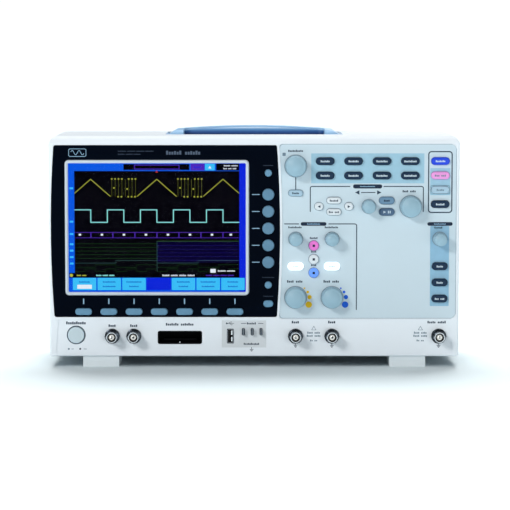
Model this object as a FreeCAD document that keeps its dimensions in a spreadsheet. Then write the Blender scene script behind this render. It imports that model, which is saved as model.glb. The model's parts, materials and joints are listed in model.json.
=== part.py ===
"""A bench logic analyzer with a built-in display, as a parametric FreeCAD document.

Frame: +X to the right as the user faces the instrument, +Y from front to back, +Z up. The origin is on the
surface that the feet stand on, in the middle of the instrument's width and depth. Units are millimetres.
"""

import FreeCAD, Part

import math
import os
from types import SimpleNamespace

import Sketcher
from FreeCAD import Rotation, Vector

DIMENSIONS = {
    # Case. The front frame and the rear cover meet at split_y.
    "case_width": 380,
    "case_bottom": 10,
    "case_top": 215,
    "front_y": -58.5,
    "split_y": -28,
    "rear_y": 67.5,
    "front_wall": 3.5,
    "side_wall": 3,
    "cover_wall": 2.5,
    "top_corner": 8,
    "frame_bottom_corner": 2,
    "cover_bottom_corner": 7,
    "frame_edge": 1.8,
    "cover_edge": 6,
    "brow_radius": 9,
    "fit_gap": 0.2,
    # Screen bezel and control panel, both seated on a ledge of the front frame.
    "ledge_y": -56,
    "bezel_left": -185.4,
    "bezel_right": 21,
    "bezel_bottom": 46.9,
    "bezel_top": 206.5,
    "bezel_front_y": -59,
    "side_curve": 1100,
    "panel_left": 23.4,
    "panel_right": 187.2,
    "panel_bottom": 45.6,
    "panel_top": 207.5,
    "panel_front_y": -58,
    "panel_corner": 5.5,
    "small_corner": 2,
    "window_margin": 1.3,
    # Screen.
    "screen_x": -90,
    "screen_z": 130,
    "screen_width": 164.6,
    "screen_height": 119.8,
    "screen_rim": 3,
    "screen_front_y": -59.6,
    "rim_back_y": -56.4,
    "pane_back_y": -55.2,
    "display_width": 176,
    "display_height": 136,
    "display_depth": 7,
    # Keys.
    "key_gap": 0.25,
    "flange_y": -55.8,
    "flange_thick": 1,
    "flange_lip": 1.2,
    "plunger_length": 3.4,
    "plunger_radius": 1.5,
    "key_front_y": -60,
    "menu_front_y": -60.6,
    "key_edge": 0.7,
    "menu_x": -158.4,
    "menu_pitch": 23.43,
    "menu_z": 52,
    "menu_width": 15.6,
    "menu_height": 6.1,
    "side_x": 13.1,
    "side_z": 98.1,
    "side_pitch": 15.72,
    "side_radius": 5.5,
    "small_key_radius": 3.3,
    "option_z": 180.9,
    "menu_off_z": 76.9,
    "print_z": 59.4,
    "print_width": 9.1,
    "print_height": 6.2,
    "channel_1_x": 38.5,
    "channel_2_x": 72.3,
    "math_x": 55.3,
    "run_x": 172.2,
    "select_z": 162.3,
    "select_width": 13.3,
    "select_height": 5.5,
    "function_x": 65.7,
    "function_z": 178.5,
    "function_pitch_x": 26.25,
    "function_pitch_z": 13.3,
    "function_width": 16.9,
    "function_height": 6.8,
    "run_z": 152,
    "run_pitch": 13.3,
    "arrow_left_x": 60,
    "arrow_right_x": 87.8,
    "arrow_z": 149.9,
    "arrow_width": 7.8,
    "arrow_height": 7,
    "search_x": 73.9,
    "search_width": 13.3,
    "search_height": 5.8,
    "zoom_x": 122.8,
    "zoom_width": 13.9,
    "zoom_height": 6.5,
    "upper_pair_z": 155.4,
    "lower_pair_z": 144.8,
    "math_z": 113.5,
    "math_pitch": 12.65,
    "math_radius": 4.5,
    "channel_key_z": 94.2,
    "channel_key_width": 14.2,
    "channel_key_height": 7.1,
    "trigger_key_z": 94.3,
    "trigger_key_pitch": 15.1,
    "trigger_key_width": 14.5,
    "trigger_key_height": 6.9,
    # Knobs and their encoders.
    "knob_back_y": -59.2,
    "knob_front_y": -72.5,
    "large_knob_radius": 10,
    "small_knob_radius": 6.35,
    "knob_draft": -2,
    "flute_radius": 0.9,
    "flute_out": 0.35,
    "flute_start": 1.5,
    "dish_depth": 0.5,
    "stem_radius": 2,
    "turning_gap": 0.08,
    "stem_length": 7.8,
    "bush_radius": 3.5,
    "bush_front_y": -59,
    "encoder_size": 11.5,
    "encoder_front_y": -54.5,
    "knob_hole_radius": 3.9,
    "variable_knob_z": 187.3,
    "horizontal_knob_x": 106.2,
    "time_knob_x": 145,
    "horizontal_knob_z": 149.8,
    "position_knob_z": 119.6,
    "scale_knob_z": 65.2,
    # Connector strip under the screen and the control panel.
    "strip_depth": 0.6,
    "strip_bottom": 13,
    "strip_top": 44.6,
    "strip_top_reach": 182,
    "strip_bottom_reach": 184.5,
    "socket_z": 29,
    "power_x": -165.6,
    "power_z": 30,
    "power_radius": 7.65,
    "power_hole_radius": 7.95,
    "power_front_y": -59.7,
    "power_flange_y": -54.8,
    "generator_1_x": -132,
    "generator_2_x": -111.9,
    "external_x": 171.7,
    "jack_hole_radius": 6.2,
    "jack_flange_radius": 6.8,
    "jack_flange_thick": 1.4,
    "jack_nut_radius": 7,
    "jack_nut_thick": 2,
    "jack_reach": 13.2,
    "jack_barrel_radius": 4.8,
    "jack_throat_radius": 4.05,
    "jack_throat_depth": 8.8,
    "jack_lug_reach": 5.6,
    "jack_lug_radius": 1,
    "jack_lug_out": 10.5,
    "jack_core_radius": 2.4,
    "jack_core_reach": 11.6,
    "jack_contact_radius": 1.1,
    "jack_contact_reach": 12.2,
    "jack_pin_radius": 0.7,
    "jack_pin_depth": 6,
    "jack_body_radius": 5.9,
    "jack_body_depth": 12,
    "jack_tail_radius": 3.2,
    "jack_tail_depth": 15.9,
    "port_x": -69.1,
    "port_z": 27.6,
    "port_width": 40.9,
    "port_height": 12,
    "port_wall": 1.2,
    "usb_x": -22.1,
    "usb_width": 5.7,
    "usb_height": 13.1,
    "demo_x": -10,
    "demo_pitch": 8.2,
    "demo_z": 33,
    # Circuit boards and chassis.
    "board_thick": 1.6,
    "key_board_y": -50,
    "main_board_y": -30,
    "chassis_y": -24,
    "sheet": 1,
    "post_x": 182.5,
    "post_low_z": 20,
    "post_high_z": 203,
    "post_radius": 5.2,
    "boss_radius": 4.7,
    "screw_radius": 1.45,
    # Rear.
    "pan_width": 303.4,
    "pan_height": 61.4,
    "pan_z": 49,
    "pan_y": 56,
    "fan_x": 100,
    "fan_z": 140,
    "fan_size": 60,
    "fan_back_y": 64.5,
    "fan_depth": 18,
    "duct_radius": 28.5,
    "fan_hub_radius": 11.5,
    "fan_axle_radius": 1.5,
    "blade_count": 7,
    "blade_length": 17.5,
    "blade_width": 13,
    "blade_thick": 1.6,
    "blade_pitch": 38,
    "inlet_x": 118,
    "slot_x": -114,
    "slot_z": 106,
    "slot_pitch": 32,
    "slot_width": 102,
    "slot_height": 20,
    # Handle, hinged in a well in the top of the rear cover.
    "well_half_width": 83.6,
    "well_front_y": -17,
    "well_back_y": 60,
    "well_floor_z": 197,
    "handle_half_width": 83.2,
    "handle_front_y": -13,
    "handle_back_y": 56,
    "handle_bottom_z": 203,
    "handle_shoulder_z": 213,
    "handle_bend_x": 74,
    "handle_bend_z": 218.4,
    "handle_top_z": 221.5,
    "grip_front_y": 33,
    "grip_reach": 67,
    "grip_under_z": 210,
    "grip_under_rise": 2,
    "handle_pivot_y": -6,
    "handle_pivot_z": 209,
    "trunnion_radius": 3,
    # Feet.
    "foot_x": 142.7,
    "foot_width": 33.4,
    "foot_front_y": -56,
    "foot_back_y": -14,
    "leg_width": 27,
    "leg_pivot_y": -49,
    "leg_pivot_z": 3.7,
    "leg_barrel": 2.9,
    "leg_pin_radius": 1.5,
    "leg_length": 33,
    "bumper_x": 165,
    "bumper_length": 5,
}

doc = FreeCAD.newDocument("logic_analyzer")
sheet = doc.addObject("Spreadsheet::Sheet", "dims")
for row, (alias, number) in enumerate(DIMENSIONS.items(), 1):
    sheet.set(f"A{row}", alias)
    sheet.set(f"B{row}", str(number))
    sheet.setAlias(f"B{row}", alias)
doc.recompute()


class Size:
    """A length with its present value and the sheet expression that gives it."""

    def __init__(self, value, text):
        self.value = float(value)
        self.text = text

    def _with(self, other, sign, value, swapped=False):
        left, right = (size(other), self) if swapped else (self, size(other))
        return Size(value, f"({left.text} {sign} {right.text})")

    def __add__(self, other):
        return self._with(other, "+", self.value + size(other).value)

    def __radd__(self, other):
        return self + other

    def __sub__(self, other):
        return self._with(other, "-", self.value - size(other).value)

    def __rsub__(self, other):
        return self._with(other, "-", size(other).value - self.value, True)

    def __mul__(self, other):
        return self._with(other, "*", self.value * size(other).value)

    def __rmul__(self, other):
        return self * other

    def __truediv__(self, other):
        return self._with(other, "/", self.value / size(other).value)

    def __neg__(self):
        return self * -1


def size(value):
    """A plain number as a Size; a Size as it is."""
    return value if isinstance(value, Size) else Size(value, repr(float(value)))


d = SimpleNamespace(**{a: Size(n, f"dims.{a}") for a, n in DIMENSIONS.items()})
half_width = d.case_width / 2
nodes = {}


def node(name, obj):
    """Names a finished sub-part, which is written to a file of that name."""
    obj.Label = name
    nodes[name] = obj
    return obj


def place(obj, x=0, y=0, z=0):
    """Binds an object's position to the sheet."""
    for axis, value in (("x", x), ("y", y), ("z", z)):
        obj.setExpression(f"Placement.Base.{axis}", size(value).text)
    return obj


# Part primitives and booleans.


def box(name, x, y, z):
    """A box between two limits along each axis."""
    made = doc.addObject("Part::Box", name)
    for side, (low, high) in (("Length", x), ("Width", y), ("Height", z)):
        made.setExpression(side, (size(high) - low).text)
    return place(made, x[0], y[0], z[0])


TURNS = {
    "x": Rotation(Vector(0, 1, 0), 90),
    "y": Rotation(Vector(1, 0, 0), -90),
    "z": Rotation(),
}


def cylinder(name, axis, start, radius, length):
    """A cylinder that runs from start along an axis."""
    made = doc.addObject("Part::Cylinder", name)
    made.Placement = FreeCAD.Placement(Vector(), TURNS[axis])
    made.setExpression("Radius", size(radius).text)
    made.setExpression("Height", size(length).text)
    return place(made, *start)


def fuse(name, *parts):
    made = doc.addObject("Part::MultiFuse", name)
    made.Shapes = list(parts)
    made.Refine = True
    return made


def cut(name, base, *tools):
    made = doc.addObject("Part::Cut", name)
    made.Base = base
    made.Tool = tools[0] if len(tools) == 1 else fuse(name + "_tools", *tools)
    made.Refine = True
    return made


def compound(name, *parts):
    """Several separate solids under one node."""
    made = doc.addObject("Part::Compound", name)
    made.Links = list(parts)
    return made


def copy_at(source, name, x=0, y=0, z=0, turn=None):
    """A linked copy of an object, at a place of its own."""
    made = doc.addObject("App::Link", name)
    made.LinkedObject = source
    if turn is not None:
        made.Placement = FreeCAD.Placement(Vector(), turn)
    return place(made, x, y, z)


# Bodies, sketches and features.


def new_body(name):
    return doc.addObject("PartDesign::Body", name)


def new_sketch(body, name, plane="XZ_Plane", at=0):
    """A sketch on an origin plane of its body. An XZ sketch faces the front, so at is its place along Y."""
    made = body.newObject("Sketcher::SketchObject", name)
    support = next(f for f in body.Origin.OriginFeatures if f.Role == plane)
    made.AttachmentSupport = [(support, "")]
    made.MapMode = "FlatFace"
    along = -size(at) if plane == "XZ_Plane" else size(at)
    made.setExpression("AttachmentOffset.Base.z", along.text)
    return made


def fix(sketch, kind, where, value):
    """Adds a dimension and binds it to the sheet."""
    value = size(value)
    index = sketch.addConstraint(Sketcher.Constraint(kind, *where, value.value))
    sketch.setExpression(f"Constraints[{index}]", value.text)


def fix_point(sketch, geometry, position, x, y):
    fix(sketch, "DistanceX", (-1, 1, geometry, position), x)
    fix(sketch, "DistanceY", (-1, 1, geometry, position), y)


def draw_circle(sketch, radius, x=None, y=None):
    """A circle at x, y, or at the sketch's origin."""
    radius = size(radius)
    here = Vector(size(x or 0).value, size(y or 0).value, 0)
    circle = sketch.addGeometry(Part.Circle(here, Vector(0, 0, 1), radius.value), False)
    fix(sketch, "Radius", (circle,), radius)
    if x is None:
        sketch.addConstraint(Sketcher.Constraint("Coincident", circle, 3, -1, 1))
    else:
        fix_point(sketch, circle, 3, x, y)


def draw_polygon(sketch, points):
    """A closed outline with straight sides, each corner bound to the sheet."""
    spots = [Vector(size(x).value, size(y).value, 0) for x, y in points]
    ends = spots[1:] + spots[:1]
    lines = sketch.addGeometry([Part.LineSegment(a, b) for a, b in zip(spots, ends)], False)
    for line, following in zip(lines, lines[1:] + lines[:1]):
        sketch.addConstraint(Sketcher.Constraint("Coincident", line, 2, following, 1))
    for line, (x, y) in zip(lines, points):
        fix_point(sketch, line, 1, x, y)


def draw_rounded(sketch, x, y, radii):
    """A rectangle between limits x and y. radii: bottom left, bottom right, top right, top left, or one."""
    (x0, x1), (y0, y1) = x, y
    radii = [size(r) for r in (radii if isinstance(radii, tuple) else (radii,) * 4)]
    low_x, high_x, low_y, high_y = (size(v).value for v in (x0, x1, y0, y1))
    r = [v.value for v in radii]
    corners = [(low_x, low_y), (high_x, low_y), (high_x, high_y), (low_x, high_y)]
    inward = [(1, 1), (-1, 1), (-1, -1), (1, -1)]
    centres = [
        Vector(cx + sx * k, cy + sy * k, 0)
        for (cx, cy), (sx, sy), k in zip(corners, inward, r)
    ]
    up = Vector(0, 0, 1)
    arcs = [
        Part.ArcOfCircle(Part.Circle(c, up, k), math.pi * (1 + i / 2), math.pi * (1.5 + i / 2))
        for i, (c, k) in enumerate(zip(centres, r))
    ]
    sides = [
        Part.LineSegment(arcs[i].EndPoint, arcs[(i + 1) % 4].StartPoint) for i in range(4)
    ]
    ids = sketch.addGeometry(arcs + sides, False)
    arc, side = ids[:4], ids[4:]
    rule = Sketcher.Constraint
    rules = []
    for i in range(4):
        rules.append(rule("Tangent", arc[i], 2, side[i], 1))
        rules.append(rule("Tangent", side[i], 2, arc[(i + 1) % 4], 1))
        rules.append(rule("Horizontal" if i % 2 == 0 else "Vertical", side[i]))
    sketch.addConstraint(rules)
    for i in range(4):
        fix(sketch, "Radius", (arc[i],), radii[i])
    fix(sketch, "DistanceY", (-1, 1, side[0], 1), y0)
    fix(sketch, "DistanceX", (-1, 1, side[1], 1), x1)
    fix(sketch, "DistanceY", (-1, 1, side[2], 1), y1)
    fix(sketch, "DistanceX", (-1, 1, side[3], 1), x0)


def draw_centred(sketch, width, height, radius, x=0, y=0):
    """A rounded rectangle about a centre."""
    draw_rounded(
        sketch,
        (x - size(width) / 2, x + size(width) / 2),
        (y - size(height) / 2, y + size(height) / 2),
        radius,
    )


def draw_bowed(sketch, x, y, curve, left, right):
    """A rectangle whose sides bow by an arc. left and right are 1 to bow towards +X, -1 towards -X, 0 straight."""
    (x0, x1), (y0, y1) = x, y
    low_x, high_x, low_y, high_y = (size(v).value for v in (x0, x1, y0, y1))
    middle, half = (low_y + high_y) / 2, (high_y - low_y) / 2
    radius = size(curve).value
    back = math.sqrt(radius**2 - half**2)
    swing = math.asin(half / radius)
    lines = [
        Part.LineSegment(Vector(low_x, low_y, 0), Vector(high_x, low_y, 0)),
        Part.LineSegment(Vector(high_x, high_y, 0), Vector(low_x, high_y, 0)),
    ]
    bottom, top = sketch.addGeometry(lines, False)
    rule = Sketcher.Constraint
    sketch.addConstraint([rule("Horizontal", bottom), rule("Horizontal", top)])
    fix_point(sketch, bottom, 1, x0, y0)
    fix(sketch, "DistanceX", (-1, 1, bottom, 2), x1)
    fix_point(sketch, top, 1, x1, y1)
    fix(sketch, "DistanceX", (-1, 1, top, 2), x0)
    for edge_x, way, low_end, high_end in (
        (low_x, left, (bottom, 1), (top, 2)),
        (high_x, right, (bottom, 2), (top, 1)),
    ):
        if way == 0:
            start, end = Vector(edge_x, low_y, 0), Vector(edge_x, high_y, 0)
            side = sketch.addGeometry(Part.LineSegment(start, end), False)
            first, last = 1, 2
        else:
            circle = Part.Circle(Vector(edge_x - way * back, middle, 0), Vector(0, 0, 1), radius)
            facing = 0 if way > 0 else math.pi
            side = sketch.addGeometry(
                Part.ArcOfCircle(circle, facing - swing, facing + swing), False
            )
            first, last = (1, 2) if way > 0 else (2, 1)
        sketch.addConstraint(rule("Coincident", side, first, *low_end))
        sketch.addConstraint(rule("Coincident", side, last, *high_end))
        if way != 0:
            fix(sketch, "Radius", (side,), curve)


def pad(body, sketch, length, backwards=False):
    """Adds a sketch's area, thick along its normal or the other way."""
    made = body.newObject("PartDesign::Pad", sketch.Name + "_pad")
    made.Profile = sketch
    made.setExpression("Length", size(length).text)
    made.Reversed = backwards
    return made


def pocket(body, sketch, length, backwards=False, both_ways=False):
    """Removes a sketch's area against its normal, along it when backwards, or half to each side."""
    doc.recompute()
    before = body.Shape.Volume
    made = body.newObject("PartDesign::Pocket", sketch.Name + "_pocket")
    made.Profile = sketch
    made.setExpression("Length", size(length).text)
    made.Reversed = backwards
    if both_ways:
        made.SideType = "Symmetric"
    doc.recompute()
    if not body.Shape.Volume < before - 1e-6:
        raise RuntimeError(f"{made.Name} removes nothing")
    return made


def pattern(body, feature, axis, step, count):
    """Repeats a feature along an origin axis of its body."""
    made = body.newObject("PartDesign::LinearPattern", feature.Name + "_row")
    made.Originals = [feature]
    direction = next(f for f in body.Origin.OriginFeatures if f.Role == axis)
    made.Direction = (direction, [""])
    made.setExpression("Length", (size(step) * (count - 1)).text)
    made.Occurrences = count
    body.Tip = made
    return made


def round_edges(body, radius, test, name, kind="Fillet"):
    """Rounds, or chamfers, the edges of the body's last feature that a test picks out."""
    doc.recompute()
    last = body.Tip
    edges = [f"Edge{i}" for i, e in enumerate(last.Shape.Edges, 1) if test(e.BoundBox)]
    if not edges:
        raise RuntimeError(f"{name} found no edges")
    made = body.newObject("PartDesign::" + kind, name)
    made.Base = (last, edges)
    made.setExpression("Radius" if kind == "Fillet" else "Size", size(radius).text)
    return made


def near(value, target):
    return abs(value - size(target).value) < 1e-3


def flat_at_y(target):
    """A test for edges that lie in the plane at a given Y."""
    return lambda b: near(b.YMin, target) and near(b.YMax, target)


def along_y(b):
    """A test for edges that run front to back."""
    return b.XLength < 1e-3 and b.ZLength < 1e-3


# Outlines that a plate and its seat in the front frame share.


def draw_bezel(sketch, grow=0):
    draw_bowed(
        sketch,
        (d.bezel_left - grow, d.bezel_right + grow),
        (d.bezel_bottom - grow, d.bezel_top + grow),
        d.side_curve,
        -1,
        1,
    )


def draw_panel(sketch, grow=0):
    draw_bowed(
        sketch,
        (d.panel_left - grow, d.panel_right + grow),
        (d.panel_bottom - grow, d.panel_top + grow),
        d.side_curve,
        1,
        0,
    )


def draw_outline(sketch, inset, bottom_corner, top_corner):
    """The case's outline, seen from the front."""
    draw_rounded(
        sketch,
        (inset - half_width, half_width - inset),
        (d.case_bottom + inset, d.case_top - inset),
        (bottom_corner, bottom_corner, top_corner, top_corner),
    )


# Where each control is. A key is (name, x, z, width, height), or a radius in place of the two sizes.

FUNCTION_KEYS = [
    (d.function_x + d.function_pitch_x * column, d.function_z + d.function_pitch_z * line)
    for line in range(2)
    for column in range(4)
]
MENU_KEYS = [(d.menu_x + d.menu_pitch * i, d.menu_z) for i in range(7)]
SIDE_KEYS = [(d.side_x, d.side_z + d.side_pitch * i) for i in range(5)]
RUN_NAMES = ("default_setup_key", "single_key", "run_stop_key", "autoset_key")
PANEL_KEYS = [
    ("select_key", d.channel_1_x, d.select_z, d.select_width, d.select_height),
    ("arrow_left_key", d.arrow_left_x, d.arrow_z, d.arrow_width, d.arrow_height),
    ("arrow_right_key", d.arrow_right_x, d.arrow_z, d.arrow_width, d.arrow_height),
    ("search_key", d.search_x, d.upper_pair_z, d.search_width, d.search_height),
    ("set_clear_key", d.search_x, d.lower_pair_z, d.search_width, d.search_height),
    ("zoom_key", d.zoom_x, d.upper_pair_z, d.zoom_width, d.zoom_height),
    ("play_pause_key", d.zoom_x, d.lower_pair_z, d.zoom_width, d.zoom_height),
    ("channel_1_key", d.channel_1_x, d.channel_key_z, d.channel_key_width, d.channel_key_height),
    ("channel_2_key", d.channel_2_x, d.channel_key_z, d.channel_key_width, d.channel_key_height),
]
for step, name in enumerate(RUN_NAMES):
    z = d.run_z + d.run_pitch * step
    PANEL_KEYS.append((name, d.run_x, z, d.function_width, d.function_height))
for step, name in enumerate(("trigger_menu_key", "trigger_half_key", "trigger_force_key")):
    z = d.trigger_key_z - d.trigger_key_pitch * step
    PANEL_KEYS.append((name, d.run_x, z, d.trigger_key_width, d.trigger_key_height))
ROUND_KEYS = [
    (name, d.math_x, d.math_z - d.math_pitch * step, d.math_radius)
    for step, name in enumerate(("math_key", "reference_key", "bus_key"))
]
BEZEL_ROUND_KEYS = [
    ("option_key", d.side_x, d.option_z, d.small_key_radius),
    ("menu_off_key", d.side_x, d.menu_off_z, d.small_key_radius),
]
KNOBS = [
    ("variable_knob", d.channel_1_x, d.variable_knob_z, d.large_knob_radius),
    ("horizontal_position_knob", d.horizontal_knob_x, d.horizontal_knob_z, d.small_knob_radius),
    ("time_scale_knob", d.time_knob_x, d.horizontal_knob_z, d.large_knob_radius),
    ("channel_1_position_knob", d.channel_1_x, d.position_knob_z, d.small_knob_radius),
    ("channel_2_position_knob", d.channel_2_x, d.position_knob_z, d.small_knob_radius),
    ("trigger_level_knob", d.run_x, d.position_knob_z, d.small_knob_radius),
    ("channel_1_scale_knob", d.channel_1_x, d.scale_knob_z, d.large_knob_radius),
    ("channel_2_scale_knob", d.channel_2_x, d.scale_knob_z, d.large_knob_radius),
]
JACKS = [d.generator_1_x, d.generator_2_x, d.channel_1_x, d.channel_2_x, d.external_x]
DEMO_TABS = [d.demo_x + d.demo_pitch * i for i in range(3)]
POST_SPOTS = [(side * d.post_x, z) for side in (-1, 1) for z in (d.post_low_z, d.post_high_z)]


def pill(height):
    """The corner radius of a key with nearly round ends."""
    return size(height) * 0.46


def draw_holes(sketch, keys):
    """A hole for each key of (x, z, width, height), or (x, z, radius), with the running gap round it."""
    for x, z, *sizes in keys:
        if len(sizes) == 1:
            draw_circle(sketch, sizes[0] + d.key_gap, x, z)
        else:
            width, height = (s + d.key_gap * 2 for s in sizes)
            draw_centred(sketch, width, height, pill(height), x, z)


def make_front_frame():
    """The moulded frame round the screen, the control panel and the connector strip."""
    body = new_body("front_frame_body")
    outline = new_sketch(body, "frame_outline", at=d.split_y)
    draw_outline(outline, 0, d.frame_bottom_corner, d.top_corner)
    pad(body, outline, d.split_y - d.front_y)
    round_edges(body, d.frame_edge, flat_at_y(d.front_y), "frame_front_edge")

    seats = {
        "bezel_seat": (draw_bezel, [(d.bezel_left, d.small_corner), (d.bezel_right, d.small_corner)]),
        "panel_seat": (draw_panel, [(d.panel_left, d.small_corner), (d.panel_right, d.panel_corner)]),
    }
    for name, (draw, ends) in seats.items():
        seat = new_sketch(body, name, at=d.front_y)
        draw(seat, d.fit_gap)
        pocket(body, seat, d.ledge_y - d.front_y)
        for side, (end, corner) in zip(("left", "right"), ends):
            round_edges(
                body,
                corner + d.fit_gap,
                lambda b, x=end.value: along_y(b) and abs(b.XMin - x) < 0.5 and near(b.YMax, d.ledge_y),
                f"{name}_{side}_corners",
            )
    windows = new_sketch(body, "frame_windows", at=d.front_y)
    margin = d.window_margin
    for low, high, bottom, top, inner in (
        (d.bezel_left + margin, d.bezel_right - 1, d.bezel_bottom, d.bezel_top, 0),
        (d.panel_left + 4, d.panel_right - margin, d.panel_bottom, d.panel_top, 3),
    ):
        draw_rounded(windows, (low, high), (bottom + margin, top - margin), 1 + inner)
    pocket(body, windows, d.front_wall + 1)

    brow = new_sketch(body, "frame_brow", "YZ_Plane")
    draw_corner(brow, d.front_y, d.case_top, d.brow_radius)
    pocket(body, brow, d.case_width * 1.2, both_ways=True)

    hollow = new_sketch(body, "frame_hollow", at=d.split_y)
    draw_outline(hollow, d.side_wall, d.frame_bottom_corner, d.top_corner - d.side_wall)
    pocket(body, hollow, d.split_y - d.front_y - d.front_wall, backwards=True)

    strip = new_sketch(body, "strip_recess", at=d.front_y)
    draw_polygon(
        strip,
        [
            (-d.strip_bottom_reach, d.strip_bottom),
            (d.strip_bottom_reach, d.strip_bottom),
            (d.strip_top_reach, d.strip_top),
            (-d.strip_top_reach, d.strip_top),
        ],
    )
    pocket(body, strip, d.strip_depth)

    holes = new_sketch(body, "strip_holes", at=d.front_y)
    draw_circle(holes, d.power_hole_radius, d.power_x, d.power_z)
    for x in JACKS:
        draw_circle(holes, d.jack_hole_radius, x, d.socket_z)
    gap = d.key_gap * 2
    draw_centred(holes, d.port_width + gap, d.port_height + gap, d.small_corner, d.port_x, d.port_z)
    draw_centred(holes, d.usb_width + gap, d.usb_height + gap, 0.6, d.usb_x, d.socket_z)
    for x in DEMO_TABS:
        draw_centred(holes, 3.4, 7, 0.6, x, d.demo_z)
    pocket(body, holes, d.front_wall + 1)

    collar = new_sketch(body, "power_collar", at=d.front_y)
    draw_circle(collar, d.power_hole_radius + 0.8, d.power_x, d.power_z)
    pocket(body, collar, d.strip_depth + 0.7)

    bosses = new_sketch(body, "frame_bosses", at=d.split_y)
    for x, z in POST_SPOTS:
        draw_circle(bosses, d.boss_radius, x, z)
    pad(body, bosses, 22)
    pilots = new_sketch(body, "frame_pilots", at=d.split_y)
    for x, z in POST_SPOTS:
        draw_circle(pilots, d.screw_radius + 0.05, x, z)
    pocket(body, pilots, 18, backwards=True)
    node("front_frame", body)


def draw_corner(sketch, edge, top, r, up=1):
    """The area outside a round where a front face, at edge, meets a top, or a bottom when up is -1."""
    points = [
        (edge + r, top),
        (edge + r, top + 3 * up),
        (edge - 3, top + 3 * up),
        (edge - 3, top - r * up),
        (edge, top - r * up),
    ]
    spots = [Vector(size(a).value, size(b).value, 0) for a, b in points]
    lines = sketch.addGeometry(
        [Part.LineSegment(a, b) for a, b in zip(spots, spots[1:])], False
    )
    centre = Vector((edge + r).value, (top - r * up).value, 0)
    start = math.pi / 2 if up > 0 else math.pi
    circle = Part.Circle(centre, Vector(0, 0, 1), size(r).value)
    arc = sketch.addGeometry(Part.ArcOfCircle(circle, start, start + math.pi / 2), False)
    rule = Sketcher.Constraint
    for line, following in zip(lines, lines[1:]):
        sketch.addConstraint(rule("Coincident", line, 2, following, 1))
    for line, (x, y) in zip(lines, points):
        fix_point(sketch, line, 1, x, y)
    fix_point(sketch, lines[-1], 2, *points[-1])
    at_top, at_edge = (1, 2) if up > 0 else (2, 1)
    sketch.addConstraint(rule("Coincident", arc, at_top, lines[0], 1))
    sketch.addConstraint(rule("Coincident", arc, at_edge, lines[-1], 2))
    fix(sketch, "Radius", (arc,), r)


def make_screen_bezel():
    """The dark plate round the screen, with the openings for the menu keys."""
    body = new_body("screen_bezel_body")
    outline = new_sketch(body, "bezel_outline", at=d.ledge_y)
    draw_bezel(outline)
    pad(body, outline, d.ledge_y - d.bezel_front_y)
    round_edges(body, d.small_corner, along_y, "bezel_corners")
    round_edges(body, 0.5, flat_at_y(d.bezel_front_y), "bezel_edge", "Chamfer")

    openings = new_sketch(body, "bezel_openings", at=d.bezel_front_y)
    outer = d.screen_rim * 2 + d.fit_gap * 2
    draw_centred(
        openings,
        d.screen_width + outer,
        d.screen_height + outer,
        d.screen_rim + 1,
        d.screen_x,
        d.screen_z,
    )
    draw_holes(openings, [(x, z, d.menu_width, d.menu_height) for x, z in MENU_KEYS])
    draw_holes(openings, [(x, z, d.side_radius) for x, z in SIDE_KEYS])
    draw_holes(openings, [(x, z, radius) for _, x, z, radius in BEZEL_ROUND_KEYS])
    draw_holes(openings, [(d.side_x, d.print_z, d.print_width, d.print_height)])
    pocket(body, openings, d.ledge_y - d.bezel_front_y + 1)
    node("screen_bezel", body)


def make_control_panel():
    """The light plate that carries the knobs and the function keys."""
    body = new_body("control_panel_body")
    outline = new_sketch(body, "panel_outline", at=d.ledge_y)
    draw_panel(outline)
    pad(body, outline, d.ledge_y - d.panel_front_y)
    right = d.panel_right.value
    round_edges(
        body, d.panel_corner, lambda b: along_y(b) and near(b.XMin, right), "panel_right_corners"
    )
    left = d.panel_left.value
    round_edges(
        body, d.small_corner, lambda b: along_y(b) and near(b.XMin, left), "panel_left_corners"
    )
    groups = {
        "function_holes": [(x, z, d.function_width, d.function_height) for x, z in FUNCTION_KEYS],
        "key_holes": [key[1:] for key in PANEL_KEYS],
        "round_holes": [key[1:] for key in ROUND_KEYS],
    }
    for name, keys in groups.items():
        holes = new_sketch(body, name, at=d.panel_front_y)
        draw_holes(holes, keys)
        pocket(body, holes, d.ledge_y - d.panel_front_y + 1)
    shafts = new_sketch(body, "knob_holes", at=d.panel_front_y)
    for _, x, z, _ in KNOBS:
        draw_circle(shafts, d.knob_hole_radius, x, z)
    pocket(body, shafts, d.ledge_y - d.panel_front_y + 1)
    node("control_panel", body)


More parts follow.
